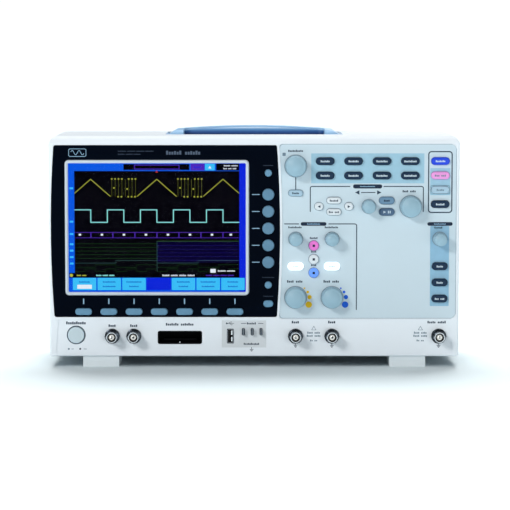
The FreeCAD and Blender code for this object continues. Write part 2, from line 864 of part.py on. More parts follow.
def make_screen():
    """The bevelled rim, the clear pane behind it and the display module."""
    rim = new_body("screen_rim_body")
    outer = new_sketch(rim, "rim_outer", at=d.rim_back_y)
    width, height = d.screen_width + d.screen_rim * 2, d.screen_height + d.screen_rim * 2
    draw_centred(outer, width, height, d.screen_rim + 0.8, d.screen_x, d.screen_z)
    pad(rim, outer, d.rim_back_y - d.screen_front_y)
    inner = new_sketch(rim, "rim_inner", at=d.rim_back_y)
    draw_centred(inner, d.screen_width, d.screen_height, 1.2, d.screen_x, d.screen_z)
    pocket(rim, inner, d.rim_back_y - d.screen_front_y + 1, backwards=True)
    round_edges(rim, 1.2, flat_at_y(d.screen_front_y), "rim_bevel", "Chamfer")
    node("screen_rim", rim)

    pane = new_body("screen_pane_body")
    sheet_of_glass = new_sketch(pane, "pane_outline", at=d.pane_back_y)
    draw_centred(sheet_of_glass, width - 0.6, height - 0.6, 3, d.screen_x, d.screen_z)
    pad(pane, sheet_of_glass, d.pane_back_y - d.rim_back_y)
    node("screen_pane", pane)

    half_w, half_h = d.display_width / 2, d.display_height / 2
    back = d.pane_back_y + d.display_depth
    metal = box(
        "display_can",
        (d.screen_x - half_w, d.screen_x + half_w),
        (d.pane_back_y, back),
        (d.screen_z - half_h, d.screen_z + half_h),
    )
    driver = box(
        "display_driver",
        (d.screen_x - 40, d.screen_x + 40),
        (back, back + 1.6),
        (d.screen_z - half_h + 4, d.screen_z - half_h + 30),
    )
    socket = box(
        "display_socket",
        (d.screen_x - 12, d.screen_x + 12),
        (back + 1.6, back + 4),
        (d.screen_z - half_h + 12, d.screen_z - half_h + 18),
    )
    node("display_module", fuse("display_module_fuse", metal, driver, socket))


def key_shape(name, draw_cap, draw_flange, plungers, reach):
    """A key or keypad about its own origin, which is on the front of its flange."""
    body = new_body(name + "_body")
    flange = new_sketch(body, name + "_flange")
    draw_flange(flange)
    pad(body, flange, d.flange_thick, backwards=True)
    cap = new_sketch(body, name + "_cap")
    draw_cap(cap)
    pad(body, cap, reach)
    round_edges(body, d.key_edge, flat_at_y(-reach), name + "_edge")
    legs = new_sketch(body, name + "_plunger", at=d.flange_thick)
    for x, z in plungers:
        draw_circle(legs, d.plunger_radius, x, z)
    pad(body, legs, d.plunger_length, backwards=True)
    return body


def make_key(name, x, z, width, height, front=d.key_front_y):
    """A single key with nearly round ends."""
    lip = d.flange_lip * 2
    body = key_shape(
        name,
        lambda s: draw_centred(s, width, height, pill(height)),
        lambda s: draw_centred(s, width + lip, height + lip, 1),
        [(None, None)],
        d.flange_y - front,
    )
    node(name, place(body, x, d.flange_y, z))


def make_round_key(name, x, z, radius, front=d.key_front_y, seat=d.flange_y):
    body = key_shape(
        name,
        lambda s: draw_circle(s, radius),
        lambda s: draw_circle(s, radius + d.flange_lip),
        [(None, None)],
        seat - front,
    )
    node(name, place(body, x, seat, z))


def make_keypads():
    """The three silicone keypads, each one moulding with several key tops on a web."""
    lip = d.flange_lip

    def moulding(name, keys, draw_top, half_w, half_h, front):
        low_x, high_x = keys[0][0] - half_w, keys[-1][0] + half_w
        low_z, high_z = keys[0][1] - half_h, keys[-1][1] + half_h
        body = key_shape(
            name,
            lambda s: [draw_top(s, x, z) for x, z in keys],
            lambda s: draw_rounded(s, (low_x, high_x), (low_z, high_z), 1),
            keys,
            d.flange_y - front,
        )
        node(name, place(body, 0, d.flange_y, 0))

    def pill_top(width, height):
        return lambda s, x, z: draw_centred(s, width, height, pill(height), x, z)

    moulding(
        "menu_keypad",
        MENU_KEYS,
        pill_top(d.menu_width, d.menu_height),
        d.menu_width / 2 + lip,
        d.menu_height / 2 + 0.5,
        d.menu_front_y,
    )
    moulding(
        "side_keypad",
        SIDE_KEYS,
        lambda s, x, z: draw_circle(s, d.side_radius, x, z),
        d.side_radius + 0.6,
        d.side_radius + lip,
        d.menu_front_y,
    )
    moulding(
        "function_keypad",
        FUNCTION_KEYS,
        pill_top(d.function_width, d.function_height),
        d.function_width / 2 + lip,
        d.function_height / 2 + lip,
        d.key_front_y,
    )


def make_knob(name, x, z, radius):
    """A knob about its own origin, in the middle of its back, with the stem that turns in the encoder."""
    body = new_body(name + "_body")
    cap = new_sketch(body, name + "_cap")
    draw_circle(cap, radius)
    reach = d.knob_back_y - d.knob_front_y
    skirt = pad(body, cap, reach)
    skirt.setExpression("TaperAngle", d.knob_draft.text)
    flute = new_sketch(body, name + "_flute", at=-d.flute_start)
    draw_circle(flute, d.flute_radius, 0.001, radius + d.flute_out)
    groove = pocket(body, flute, reach + 1, backwards=True)
    ring = body.newObject("PartDesign::PolarPattern", name + "_flutes")
    ring.Originals = [groove]
    ring.Axis = (next(f for f in body.Origin.OriginFeatures if f.Role == "Y_Axis"), [""])
    ring.Angle = 360
    ring.Occurrences = 24 if radius.value > 8 else 16
    body.Tip = ring
    dish = new_sketch(body, name + "_dish", at=-reach)
    draw_circle(dish, radius * 0.72)
    pocket(body, dish, d.dish_depth)
    stem = new_sketch(body, name + "_stem")
    draw_circle(stem, d.stem_radius)
    pad(body, stem, d.stem_length, backwards=True)
    node(name, place(body, x, d.knob_back_y, z))


def make_key_board():
    """The L-shaped board behind the keys, its encoders, and the small board of the power switch."""
    front, back = d.key_board_y, d.key_board_y + d.board_thick
    board = fuse(
        "key_board_plate",
        box("key_board_right", (5, 177), (front, back), (48, 205)),
        box("key_board_foot", (-172, 5), (front, back), (47, 60.5)),
    )
    switch_board = box("power_switch_board", (-176, -155), (-47.5, -45.9), (20, 40))
    parts = [board, switch_board]
    half = d.encoder_size / 2
    for name, x, z, _ in KNOBS:
        can = box(name + "_can", (x - half, x + half), (d.encoder_front_y, front), (z - half, z + half))
        bush_length = d.encoder_front_y - d.bush_front_y
        bush = cylinder(name + "_bush", "y", (x, d.bush_front_y, z), d.bush_radius, bush_length)
        bore = cylinder(
            name + "_bore", "y", (x, d.bush_front_y - 1, z), d.stem_radius + d.turning_gap, d.stem_length + 1
        )
        parts.append(cut(name + "_encoder", fuse(name + "_solid", can, bush), bore))
    node("key_board", compound("key_board_group", *parts))


def make_jack(name):
    """A bayonet jack about its own origin, where its axis meets the panel, pointing to the front."""
    face = d.jack_flange_thick + d.jack_nut_thick
    throat_start = -(d.jack_reach + 1)
    flange = cylinder(
        name + "_flange", "y", (0, -d.jack_flange_thick, 0), d.jack_flange_radius, d.jack_flange_thick
    )
    nut = doc.addObject("Part::Prism", name + "_nut")
    nut.Polygon = 6
    nut.Placement = FreeCAD.Placement(Vector(), TURNS["y"])
    nut.setExpression("Circumradius", d.jack_nut_radius.text)
    nut.setExpression("Height", d.jack_nut_thick.text)
    place(nut, 0, -face, 0)
    barrel = cylinder(
        name + "_barrel", "y", (0, -d.jack_reach, 0), d.jack_barrel_radius, d.jack_reach - face
    )
    throat = cylinder(
        name + "_throat", "y", (0, throat_start, 0), d.jack_throat_radius, d.jack_throat_depth + 1
    )
    shell = cut(name + "_shell", barrel, throat)
    lugs = cylinder(
        name + "_lugs",
        "x",
        (-d.jack_lug_reach, -d.jack_lug_out, 0),
        d.jack_lug_radius,
        d.jack_lug_reach * 2,
    )
    lug_gap = cylinder(
        name + "_lug_gap", "y", (0, throat_start, 0), d.jack_throat_radius + 0.25, d.jack_throat_depth + 1
    )
    trimmed = cut(name + "_lugs_only", lugs, lug_gap)
    core = cylinder(
        name + "_core", "y", (0, -d.jack_core_reach, 0), d.jack_core_radius, d.jack_core_reach - face + 0.2
    )
    contact = cylinder(
        name + "_contact",
        "y",
        (0, -d.jack_contact_reach, 0),
        d.jack_contact_radius,
        d.jack_contact_reach - face + 0.2,
    )
    pin_bore = cylinder(
        name + "_pin_bore", "y", (0, -d.jack_contact_reach - 1, 0), d.jack_pin_radius, d.jack_pin_depth + 1
    )
    body = cylinder(name + "_body", "y", (0, 0, 0), d.jack_body_radius, d.jack_body_depth)
    tail = cylinder(name + "_tail", "y", (0, d.jack_body_depth, 0), d.jack_tail_radius, d.jack_tail_depth)
    solid = fuse(name + "_fuse", flange, nut, shell, trimmed, core, contact, body, tail)
    return cut(name, solid, pin_bore)


def make_front_sockets():
    """The bayonet jacks, the logic input port, the USB socket and the demo tabs."""
    floor = d.front_y + d.strip_depth
    jack = make_jack("jack")
    jacks = [
        copy_at(jack, f"front_jack_{i}", x, floor, d.socket_z) for i, x in enumerate(JACKS, 1)
    ]
    node("front_jacks", compound("front_jack_group", *jacks))

    half_w, half_h = d.port_width / 2, d.port_height / 2
    x, z, wall = d.port_x, d.port_z, d.port_wall
    sleeve = new_body("port_sleeve_body")
    outer = new_sketch(sleeve, "port_outer", at=-40)
    draw_centred(outer, d.port_width, d.port_height, 1.8, x, z)
    pad(sleeve, outer, -(d.front_y + 0.3) - 40)
    inner = new_sketch(sleeve, "port_inner", at=d.front_y + 0.3)
    draw_centred(inner, d.port_width - wall * 2, d.port_height - wall * 2, 1, x, z)
    pocket(sleeve, inner, 15.5)
    flange = box("port_flange", (x - half_w - 3, x + half_w + 3), (-54.9, -53), (z - half_h - 3, z + half_h + 3))
    hole = box("port_flange_hole", (x - half_w + 1, x + half_w - 1), (-55.5, -52), (z - half_h + 1, z + half_h - 1))
    block = box("port_block", (x - 19, x + 19), (-40, d.main_board_y), (z - 5, z + 5))
    tongue_z = z - 2.3
    tongue = box("port_tongue", (x - 15, x + 15), (-53.5, -42), (tongue_z - 0.9, tongue_z + 0.9))
    parts = (sleeve, cut("port_flange_ring", flange, hole), block, tongue)
    node("logic_port", fuse("logic_port_fuse", *parts))

    half_w, half_h = d.usb_width / 2, d.usb_height / 2
    x, z, front = d.usb_x, d.socket_z, d.front_y + 0.2
    shell = box("usb_shell", (x - half_w, x + half_w), (front, d.main_board_y), (z - half_h, z + half_h))
    inside = box(
        "usb_inside",
        (x - half_w + 0.4, x + half_w - 0.4),
        (front - 1, -44),
        (z - half_h + 0.4, z + half_h - 0.4),
    )
    tongue = box("usb_tongue", (x - 2.2, x - 0.4), (front + 1, -43), (z - 5.5, z + 5.5))
    node("usb_port", fuse("usb_port_fuse", cut("usb_port_shell", shell, inside), tongue))

    tabs = []
    for i, x in enumerate(DEMO_TABS, 1):
        blade = box(f"demo_blade_{i}", (x - 0.5, x + 0.5), (-62.5, -50), (d.demo_z - 3, d.demo_z + 3))
        eye = cylinder(f"demo_eye_{i}", "x", (x - 1, -60.3, d.demo_z), 1.2, 2)
        foot = box(f"demo_foot_{i}", (x - 1.6, x + 1.6), (-54, -50), (d.demo_z - 3.4, d.demo_z + 3.4))
        tabs.append(fuse(f"demo_tab_{i}", cut(f"demo_hook_{i}", blade, eye), foot))
    low, high = DEMO_TABS[0] - 4, DEMO_TABS[-1] + 4
    carrier = box("demo_carrier", (low, high), (-50, -48.4), (d.demo_z - 6, d.demo_z + 6))
    node("demo_terminals", compound("demo_group", *tabs, carrier))


def make_electronics():
    """The main board, the sheet-metal chassis and the power supply, without any small parts."""
    front, back = d.main_board_y, d.main_board_y + d.board_thick
    board = box("main_board_plate", (-172, 172), (front, back), (16, 198))
    can_left, can_right = d.channel_1_x - 14, d.channel_2_x + 14
    can = cut(
        "shield_can",
        box("shield_can_block", (can_left, can_right), (front - 10, front), (42, 78)),
        box("shield_can_inside", (can_left + 0.5, can_right - 0.5), (front - 9.5, front + 1), (42.5, 77.5)),
    )
    sink_fins = [
        box(f"sink_fin_{i}", (-62 + 5 * i, -60.8 + 5 * i), (front - 12, front - 3), (100, 140))
        for i in range(9)
    ]
    sink = fuse("heat_sink", box("sink_base", (-62, -20), (front - 3, front), (100, 140)), *sink_fins)
    chips = [
        box(f"chip_{i}", (x, x + side), (front - 2, front), (z, z + side))
        for i, (x, z, side) in enumerate([(30, 100, 24), (70, 104, 17), (100, 100, 17), (-130, 110, 28)], 1)
    ]
    node("main_board", compound("main_board_group", board, can, sink, *chips))

    sheet_front, sheet_back = d.chassis_y, d.chassis_y + d.sheet
    plate = box("chassis_plate", (-176, 176), (sheet_front, sheet_back), (15, 193))
    sides = [
        box(f"chassis_side_{i}", (low, low + 1), (sheet_back, 50), (15, 193))
        for i, low in enumerate((-176, 175), 1)
    ]
    stand_offs = [
        cylinder(f"board_post_{i}_{j}", "y", (x, back, z), 3, d.chassis_y - back)
        for i, x in enumerate((-164, 0, 164))
        for j, z in enumerate((24, 186))
    ]
    supply_posts = [
        cylinder(f"supply_post_{i}_{j}", "y", (x, sheet_back, z), 3, 6)
        for i, x in enumerate((-20, 60))
        for j, z in enumerate((96, 184))
    ]
    node("chassis", fuse("chassis_fuse", plate, *sides, *stand_offs, *supply_posts))

    board_y = sheet_back + 6
    top = board_y + d.board_thick
    supply = [
        box("supply_board", (-28, 68), (board_y, top), (88, 190)),
        box("transformer_core", (0, 34), (top, top + 26), (120, 150)),
        box("supply_heat_sink", (-24, -21), (top, top + 30), (100, 180)),
        cylinder("bulk_capacitor", "y", (50, top, 108), 11, 32),
        cylinder("output_capacitor_1", "y", (48, top, 166), 6, 20),
        cylinder("output_capacitor_2", "y", (48, top, 180), 6, 20),
        box("line_choke", (0, 22), (top, top + 18), (94, 112)),
    ]
    node("power_supply", compound("power_supply_group", *supply))


def make_fan():
    """The fan's frame, which holds the motor, and the rotor that spins on it."""
    half = d.fan_size / 2
    front = d.fan_back_y - d.fan_depth
    x, z = d.fan_x, d.fan_z
    frame = box("fan_block", (x - half, x + half), (front, d.fan_back_y), (z - half, z + half))
    duct = cylinder("fan_duct", "y", (x, front - 1, z), d.duct_radius, d.fan_depth + 2)
    ring = cut("fan_ring", frame, duct)
    spoke_depth = 2
    spokes = [
        box("fan_spoke_flat", (x - half + 0.5, x + half - 0.5), (front, front + spoke_depth), (z - 1.5, z + 1.5)),
        box("fan_spoke_tall", (x - 1.5, x + 1.5), (front, front + spoke_depth), (z - half + 0.5, z + half - 0.5)),
    ]
    motor_plate = cylinder("fan_motor_plate", "y", (x, front, z), 11, spoke_depth)
    axle = cylinder("fan_axle", "y", (x, front, z), d.fan_axle_radius, d.fan_depth - 4)
    node("fan_frame", fuse("fan_frame_fuse", ring, *spokes, motor_plate, axle))

    hub_start = front + spoke_depth + 1
    hub_length = d.fan_depth - spoke_depth - 3
    hub = cylinder("rotor_hub", "y", (x, hub_start, z), d.fan_hub_radius, hub_length)
    blades = []
    count = DIMENSIONS["blade_count"]
    for i in range(count):
        blade = doc.addObject("Part::Box", f"rotor_blade_{i}")
        blade.setExpression("Length", d.blade_length.text)
        blade.setExpression("Width", d.blade_thick.text)
        blade.setExpression("Height", d.blade_width.text)
        spin = Rotation(Vector(0, 1, 0), 360 * i / count)
        turn = spin * Rotation(Vector(1, 0, 0), d.blade_pitch.value)
        reach = spin.multVec(Vector(d.fan_hub_radius.value - 1.5, 0, 0))
        sunk = turn.multVec(Vector(0, -d.blade_thick.value / 2, -d.blade_width.value / 2))
        offset = reach + sunk
        blade.Placement = FreeCAD.Placement(Vector(), turn)
        place(blade, x + offset.x, hub_start + hub_length / 2 + offset.y, z + offset.z)
        blades.append(blade)
    bore_radius = d.fan_axle_radius + d.turning_gap
    bore = cylinder("rotor_bore", "y", (x, hub_start - 1, z), bore_radius, hub_length)
    node("fan_rotor", cut("fan_rotor_cut", fuse("rotor_solid", hub, *blades), bore))


def make_rear_cover():
    """The moulded cover behind the frame, with the well for the handle, vents and screw posts."""
    body = new_body("rear_cover_body")
    outline = new_sketch(body, "cover_outline", at=d.rear_y)
    draw_outline(outline, 0, d.cover_bottom_corner, d.top_corner)
    pad(body, outline, d.rear_y - d.split_y)
    round_edges(body, d.cover_edge, flat_at_y(d.rear_y), "cover_rear_edge")
    hollow = new_sketch(body, "cover_hollow", at=d.split_y)
    wall = d.cover_wall
    draw_outline(hollow, wall, d.cover_bottom_corner - wall, d.top_corner - wall)
    pocket(body, hollow, d.rear_y - wall - d.split_y)

    posts = new_sketch(body, "cover_posts", at=d.rear_y - 2)
    for x, z in POST_SPOTS:
        draw_circle(posts, d.post_radius, x, z)
    pad(body, posts, d.rear_y - 2 - d.split_y)

    tub = new_sketch(body, "well_tub", "XY_Plane", d.well_floor_z - wall)
    reach = d.well_half_width + wall
    draw_rounded(tub, (-reach, reach), (d.well_front_y - wall, d.well_back_y + wall), 4)
    pad(body, tub, d.case_top - 1 - d.well_floor_z + wall)
    well = new_sketch(body, "well", "XY_Plane", d.case_top + 1)
    reach = d.well_half_width
    draw_rounded(well, (-reach, reach), (d.well_front_y, d.well_back_y), 2)
    pocket(body, well, d.case_top + 1 - d.well_floor_z)
    hinge = new_sketch(body, "well_hinge", "YZ_Plane")
    draw_circle(hinge, d.trunnion_radius + d.turning_gap, d.handle_pivot_y, d.handle_pivot_z)
    pocket(body, hinge, d.well_half_width * 2 + wall * 4, both_ways=True)

    bores = new_sketch(body, "post_bores", at=d.split_y + 6)
    for x, z in POST_SPOTS:
        draw_circle(bores, 3.4, x, z)
    pocket(body, bores, 100)
    holes = new_sketch(body, "post_holes", at=d.split_y - 1)
    for x, z in POST_SPOTS:
        draw_circle(holes, 1.7, x, z)
    pocket(body, holes, 12)

    rear = new_sketch(body, "rear_openings", at=d.rear_y - 4)
    gap = d.fit_gap * 3
    draw_centred(rear, d.pan_width + gap, d.pan_height + gap, 1.5, 0, d.pan_z)
    for step in range(2):
        z = d.slot_z + d.slot_pitch * step
        draw_centred(rear, d.slot_width, d.slot_height, 1, d.slot_x, z)
    draw_centred(rear, 7, 3, 1.2, 160, 96)
    pocket(body, rear, 6)

    grille = new_sketch(body, "fan_slot", at=d.rear_y - 4)
    draw_centred(grille, 52, 2.6, 1.1, d.fan_x, d.fan_z - 24)
    pattern(body, pocket(body, grille, 6), "Z_Axis", 6, 9)
    side = new_sketch(body, "side_slot", "YZ_Plane")
    draw_rounded(side, (-8, -5.4), (70, 150), 1.1)
    pattern(body, pocket(body, side, d.case_width + 4, both_ways=True), "Y_Axis", 7, 8)
    under = new_sketch(body, "under_slot", "XY_Plane", d.case_bottom + 4)
    draw_rounded(under, (-80, 80), (-4, -1.4), 1.1)
    pattern(body, pocket(body, under, 6), "Y_Axis", 7, 6)
    node("rear_cover", body)


def make_rear_panel():
    """The sheet-metal pan in the rear cover, with the cut-outs for its sockets."""
    body = new_body("rear_panel_body")
    half_w, half_h = d.pan_width / 2, d.pan_height / 2
    outline = new_sketch(body, "pan_outline", at=d.rear_y - 1)
    draw_rounded(outline, (-half_w, half_w), (d.pan_z - half_h, d.pan_z + half_h), 1.2)
    pad(body, outline, d.rear_y - 1 - d.pan_y)
    inside = new_sketch(body, "pan_inside", at=d.pan_y + d.sheet)
    t = d.sheet
    draw_rounded(inside, (t - half_w, half_w - t), (d.pan_z - half_h + t, d.pan_z + half_h - t), 0.5)
    pocket(body, inside, 12)
    holes = new_sketch(body, "pan_holes", at=d.pan_y - 1)
    draw_centred(holes, 27.6, 20.2, 1, d.inlet_x, d.pan_z)
    for x in (-30, -4):
        draw_circle(holes, 6.2, x, d.pan_z)
    draw_centred(holes, 20, 11, 1, -76, d.pan_z)
    draw_centred(holes, 12.6, 11.6, 0.5, -114, d.pan_z)
    draw_circle(holes, 2.2, 64, d.pan_z)
    pocket(body, holes, 4)
    node("rear_panel", body)


def make_rear_sockets():
    """The sockets on the rear panel: two bayonet jacks, a nine-way port, USB and a ground post."""
    face = d.pan_y + d.sheet
    turn = Rotation(Vector(0, 0, 1), 180)
    jack = doc.getObject("jack")
    parts = [
        copy_at(jack, f"rear_jack_{i}", x, face, d.pan_z, turn) for i, x in enumerate((-30, -4), 1)
    ]
    z = d.pan_z
    plate = box("serial_plate", (-91.5, -60.5), (face, face + 1), (z - 6.2, z + 6.2))
    shell = box("serial_shell", (-84.5, -67.5), (face - 6, face + 6), (z - 4.2, z + 4.2))
    inside = box("serial_inside", (-83.9, -68.1), (face + 0.5, face + 7), (z - 3.6, z + 3.6))
    housing = cut("serial_housing", fuse("serial_solid", plate, shell), inside)
    pins = [
        cylinder(f"serial_pin_{row}_{i}", "y", (-76 + (i - (4 - row) / 2) * 2.77, face, z + 1.4 - 2.8 * row), 0.5, 5)
        for row in range(2)
        for i in range(5 - row)
    ]
    nuts = [cylinder(f"serial_nut_{i}", "y", (x, face + 0.5, z), 2.2, 4.5) for i, x in enumerate((-88.5, -63.5), 1)]
    parts.append(fuse("serial_port", housing, *pins, *nuts))
    block = box("device_block", (-120, -108), (face - 14, face + 1.5), (z - 5.5, z + 5.5))
    hollow = box("device_hollow", (-118.2, -109.8), (face - 8, face + 2), (z - 3.8, z + 3.8))
    tongue = box("device_tongue", (-116.8, -111.2), (face - 9, face + 0.5), (z - 1.4, z + 1.4))
    parts.append(fuse("device_port", cut("device_shell", block, hollow), tongue))
    post = cylinder("ground_stud", "y", (64, face - 6, z), 2, 14)
    nut = cylinder("ground_nut", "y", (64, face, z), 4, 4)
    parts.append(fuse("ground_post", post, nut))
    node("rear_sockets", compound("rear_socket_group", *parts))

    x = d.inlet_x
    flange = box("inlet_flange", (x - 16, x + 16), (face, face + 2.5), (z - 12, z + 12))
    body = box("inlet_body", (x - 13.6, x + 13.6), (face - 24, face + 1), (z - 9.9, z + 9.9))
    cavity = box("inlet_cavity", (x - 12.2, x + 12.2), (face - 16, face + 4), (z - 8.4, z + 8.4))
    case = cut("inlet_case", fuse("inlet_solid", flange, body), cavity)
    blades = [
        box(f"inlet_blade_{i}", (x + dx - 1, x + dx + 1), (face - 20, face - 3), (z + dz - 2, z + dz + 2))
        for i, (dx, dz) in enumerate([(-7, -2), (7, -2), (0, 2)], 1)
    ]
    node("mains_inlet", fuse("mains_inlet_fuse", case, *blades))

    covers = []
    for step in range(2):
        z = d.slot_z + d.slot_pitch * step
        half_w, half_h = d.slot_width / 2 + 8, d.slot_height / 2 + 4
        plate = box(
            f"slot_plate_{step}",
            (d.slot_x - half_w, d.slot_x + half_w),
            (d.rear_y, d.rear_y + 1.2),
            (z - half_h, z + half_h),
        )
        plug = box(
            f"slot_plug_{step}",
            (d.slot_x - d.slot_width / 2 + 0.4, d.slot_x + d.slot_width / 2 - 0.4),
            (d.rear_y - 1.5, d.rear_y),
            (z - d.slot_height / 2 + 0.4, z + d.slot_height / 2 - 0.4),
        )
        covers.append(fuse(f"slot_cover_{step}", plate, plug))
        for i, x in enumerate((d.slot_x - half_w + 5, d.slot_x + half_w - 5), 1):
            covers.append(cylinder(f"slot_screw_{step}_{i}", "y", (x, d.rear_y + 1.2, z), 3.2, 3.4))
    node("option_slot_covers", compound("slot_cover_group", *covers))


def make_screws():
    """The four long screws that draw the rear cover onto the front frame."""
    screws = []
    seat = d.split_y + 6
    for i, (x, z) in enumerate(POST_SPOTS, 1):
        head = cylinder(f"screw_head_{i}", "y", (x, seat, z), 2.9, 2.2)
        socket = cylinder(f"screw_socket_{i}", "y", (x, seat + 1, z), 1.3, 2)
        shank = cylinder(f"screw_shank_{i}", "y", (x, seat - 22, z), d.screw_radius, 23)
        screws.append(cut(f"screw_{i}", fuse(f"screw_solid_{i}", head, shank), socket))
    node("case_screws", compound("screw_group", *screws))


def make_handle():
    """The carrying handle, laid back in its well, with a trunnion on the outside of each arm."""
    body = new_body("handle_body")
    profile = new_sketch(body, "handle_profile", at=d.handle_back_y)
    reach, bend_x, bend_z = d.handle_half_width, d.handle_bend_x, d.handle_bend_z
    points = [
        (-bend_x, bend_z),
        (-reach, d.handle_shoulder_z),
        (-reach, d.handle_bottom_z),
        (reach, d.handle_bottom_z),
        (reach, d.handle_shoulder_z),
        (bend_x, bend_z),
    ]
    draw_arch(profile, points, d.handle_top_z)
    pad(body, profile, d.handle_back_y - d.handle_front_y)

    gap = new_sketch(body, "handle_gap", "XY_Plane", d.handle_top_z + 1)
    draw_rounded(
        gap,
        (-d.grip_reach, d.grip_reach),
        (d.handle_front_y - 20, d.grip_front_y),
        (1, 1, 7, 7),
    )
    pocket(body, gap, 40)
    under = new_sketch(body, "grip_under", at=d.handle_back_y)
    inner, floor = d.grip_reach, d.handle_bottom_z - 2
    arch = [(-inner, d.grip_under_z), (-inner, floor), (inner, floor), (inner, d.grip_under_z)]
    draw_arch(under, arch, d.grip_under_z + d.grip_under_rise)
    pocket(body, under, d.handle_back_y - d.grip_front_y + 12, backwards=True)

    for name, top, radius, up in (
        ("arm_nose", d.handle_bend_z + 1, size(8), 1),
        ("arm_toe", d.handle_bottom_z, size(5), -1),
    ):
        end = new_sketch(body, name, "YZ_Plane")
        draw_corner(end, d.handle_front_y, top, radius, up)
        pocket(body, end, d.handle_half_width * 2 + 4, both_ways=True)
    at_back = flat_at_y(d.handle_back_y)
    outermost, bottom = d.handle_bend_x.value - 0.1, d.handle_bottom_z.value + 0.1
    round_edges(
        body,
        2.5,
        lambda b: at_back(b) and max(-b.XMin, b.XMax) > outermost and b.ZMax > bottom,
        "grip_back_edges",
    )
    for side, name in ((-1, "left"), (1, "right")):
        trunnion = new_sketch(body, f"{name}_trunnion", "YZ_Plane", side * reach)
        draw_circle(trunnion, d.trunnion_radius, d.handle_pivot_y, d.handle_pivot_z)
        pad(body, trunnion, 2.6, backwards=side < 0)
    node("carry_handle", body)


def draw_arch(sketch, points, crown):
    """An outline of straight sides through the points, closed by an arc from the last up to crown and back."""
    spots = [Vector(size(a).value, size(b).value, 0) for a, b in points]
    lines = sketch.addGeometry(
        [Part.LineSegment(a, b) for a, b in zip(spots, spots[1:])], False
    )
    rule = Sketcher.Constraint
    for line, following in zip(lines, lines[1:]):
        sketch.addConstraint(rule("Coincident", line, 2, following, 1))
    for line, (x, y) in zip(lines, points):
        fix_point(sketch, line, 1, x, y)
    fix_point(sketch, lines[-1], 2, *points[-1])
    rise = size(crown) - points[0][1]
    half = -points[0][0]
    radius = (half * half + rise * rise) / (rise * 2)
    centre = Vector(0, size(crown).value - radius.value, 0)
    swing = math.asin(half.value / radius.value)
    circle = Part.Circle(centre, Vector(0, 0, 1), radius.value)
    arc = sketch.addGeometry(
        Part.ArcOfCircle(circle, math.pi / 2 - swing, math.pi / 2 + swing), False
    )
    sketch.addConstraint(rule("Coincident", arc, 1, lines[-1], 2))
    sketch.addConstraint(rule("Coincident", arc, 2, lines[0], 1))
    fix(sketch, "Radius", (arc,), radius)


def make_feet():
    """Two front feet that hold the tilt legs, two rear feet and four bumpers on the back."""
    half, top = d.foot_width / 2, d.case_bottom
    feet = []
    for side, name in ((-1, "left"), (1, "right")):
        x = side * d.foot_x
        block = box(f"{name}_foot_block", (x - half, x + half), (d.foot_front_y, d.foot_back_y), (0, top))
        lip = box(f"{name}_foot_lip", (x - half, x + half), (d.foot_front_y - 0.7, d.foot_front_y), (0, top / 2))
        inner = d.leg_width / 2 + 0.3
        room = box(
            f"{name}_foot_room", (x - inner, x + inner), (d.foot_front_y + 2.8, d.foot_back_y + 1), (-1, 7)
        )
        start = x - half - 1
        hole = cylinder(
            f"{name}_foot_hole",
            "x",
            (start, d.leg_pivot_y, d.leg_pivot_z),
            d.leg_pin_radius + d.turning_gap,
            d.foot_width + 2,
        )
        feet.append(cut(f"{name}_front_foot", fuse(f"{name}_foot_solid", block, lip), room, hole))
        feet.append(box(f"{name}_rear_foot", (x - half, x + half), (34, 58), (0, top)))
        for low, z in (("low", 29), ("high", 188)):
            spot = (side * d.bumper_x, d.rear_y, z)
            feet.append(cylinder(f"{name}_{low}_bumper", "y", spot, 6, d.bumper_length))

        inner = d.leg_width / 2
        y, z, r = d.leg_pivot_y, d.leg_pivot_z, d.leg_barrel
        barrel = cylinder(f"{name}_leg_barrel", "x", (x - inner, y, z), r, d.leg_width)
        plate = box(f"{name}_leg_plate", (x - inner, x + inner), (y, y + d.leg_length), (z - 2.5, z + 2.5))
        pin_reach = half - 0.4
        pin = cylinder(f"{name}_leg_pin", "x", (x - pin_reach, y, z), d.leg_pin_radius, pin_reach * 2)
        notch = box(f"{name}_leg_notch", (x - 8, x + 8), (y + d.leg_length - 4, y + d.leg_length + 1), (-1, 8))
        leg = cut(f"{name}_leg_cut", fuse(f"{name}_leg_solid", barrel, plate, pin), notch)
        node(f"tilt_leg_{name}", leg)
    node("case_feet", compound("feet_group", *feet))


def make_controls():
    make_keypads()
    for key in PANEL_KEYS:
        make_key(*key)
    for key in ROUND_KEYS:
        make_round_key(*key)
    for key in BEZEL_ROUND_KEYS:
        make_round_key(*key, front=d.menu_front_y)
    make_key("print_key", d.side_x, d.print_z, d.print_width, d.print_height, front=d.menu_front_y)
    make_round_key(
        "power_button", d.power_x, d.power_z, d.power_radius, d.power_front_y, d.power_flange_y
    )
    for knob in KNOBS:
        make_knob(*knob)


def write_parts():
    """Stops at the first object that failed; then writes a file for each sub-part."""
    doc.recompute()
    for obj in doc.Objects:
        if {"Invalid", "Error"} & set(obj.State):
            raise RuntimeError(f"{obj.Label} ({obj.Name}) failed: {obj.State}")
    os.makedirs("parts", exist_ok=True)
    for name, obj in nodes.items():
        shape = obj.Shape
        if shape.isNull() or not shape.isValid() or not shape.Solids:
            raise RuntimeError(f"{name} has no valid solid")
        shape.exportStep(f"parts/{name}.step")


make_front_frame()
make_screen_bezel()
make_control_panel()
make_screen()
make_controls()
make_key_board()
make_front_sockets()
make_electronics()
make_fan()
make_rear_cover()
make_rear_panel()
make_rear_sockets()
make_screws()
make_handle()
make_feet()
write_parts()
print(len(nodes), "sub-parts written")
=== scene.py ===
"""The looks of a bench logic analyzer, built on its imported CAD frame.
"""

import json
import math

import bmesh
import bpy
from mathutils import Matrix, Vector
from mathutils.geometry import tessellate_polygon


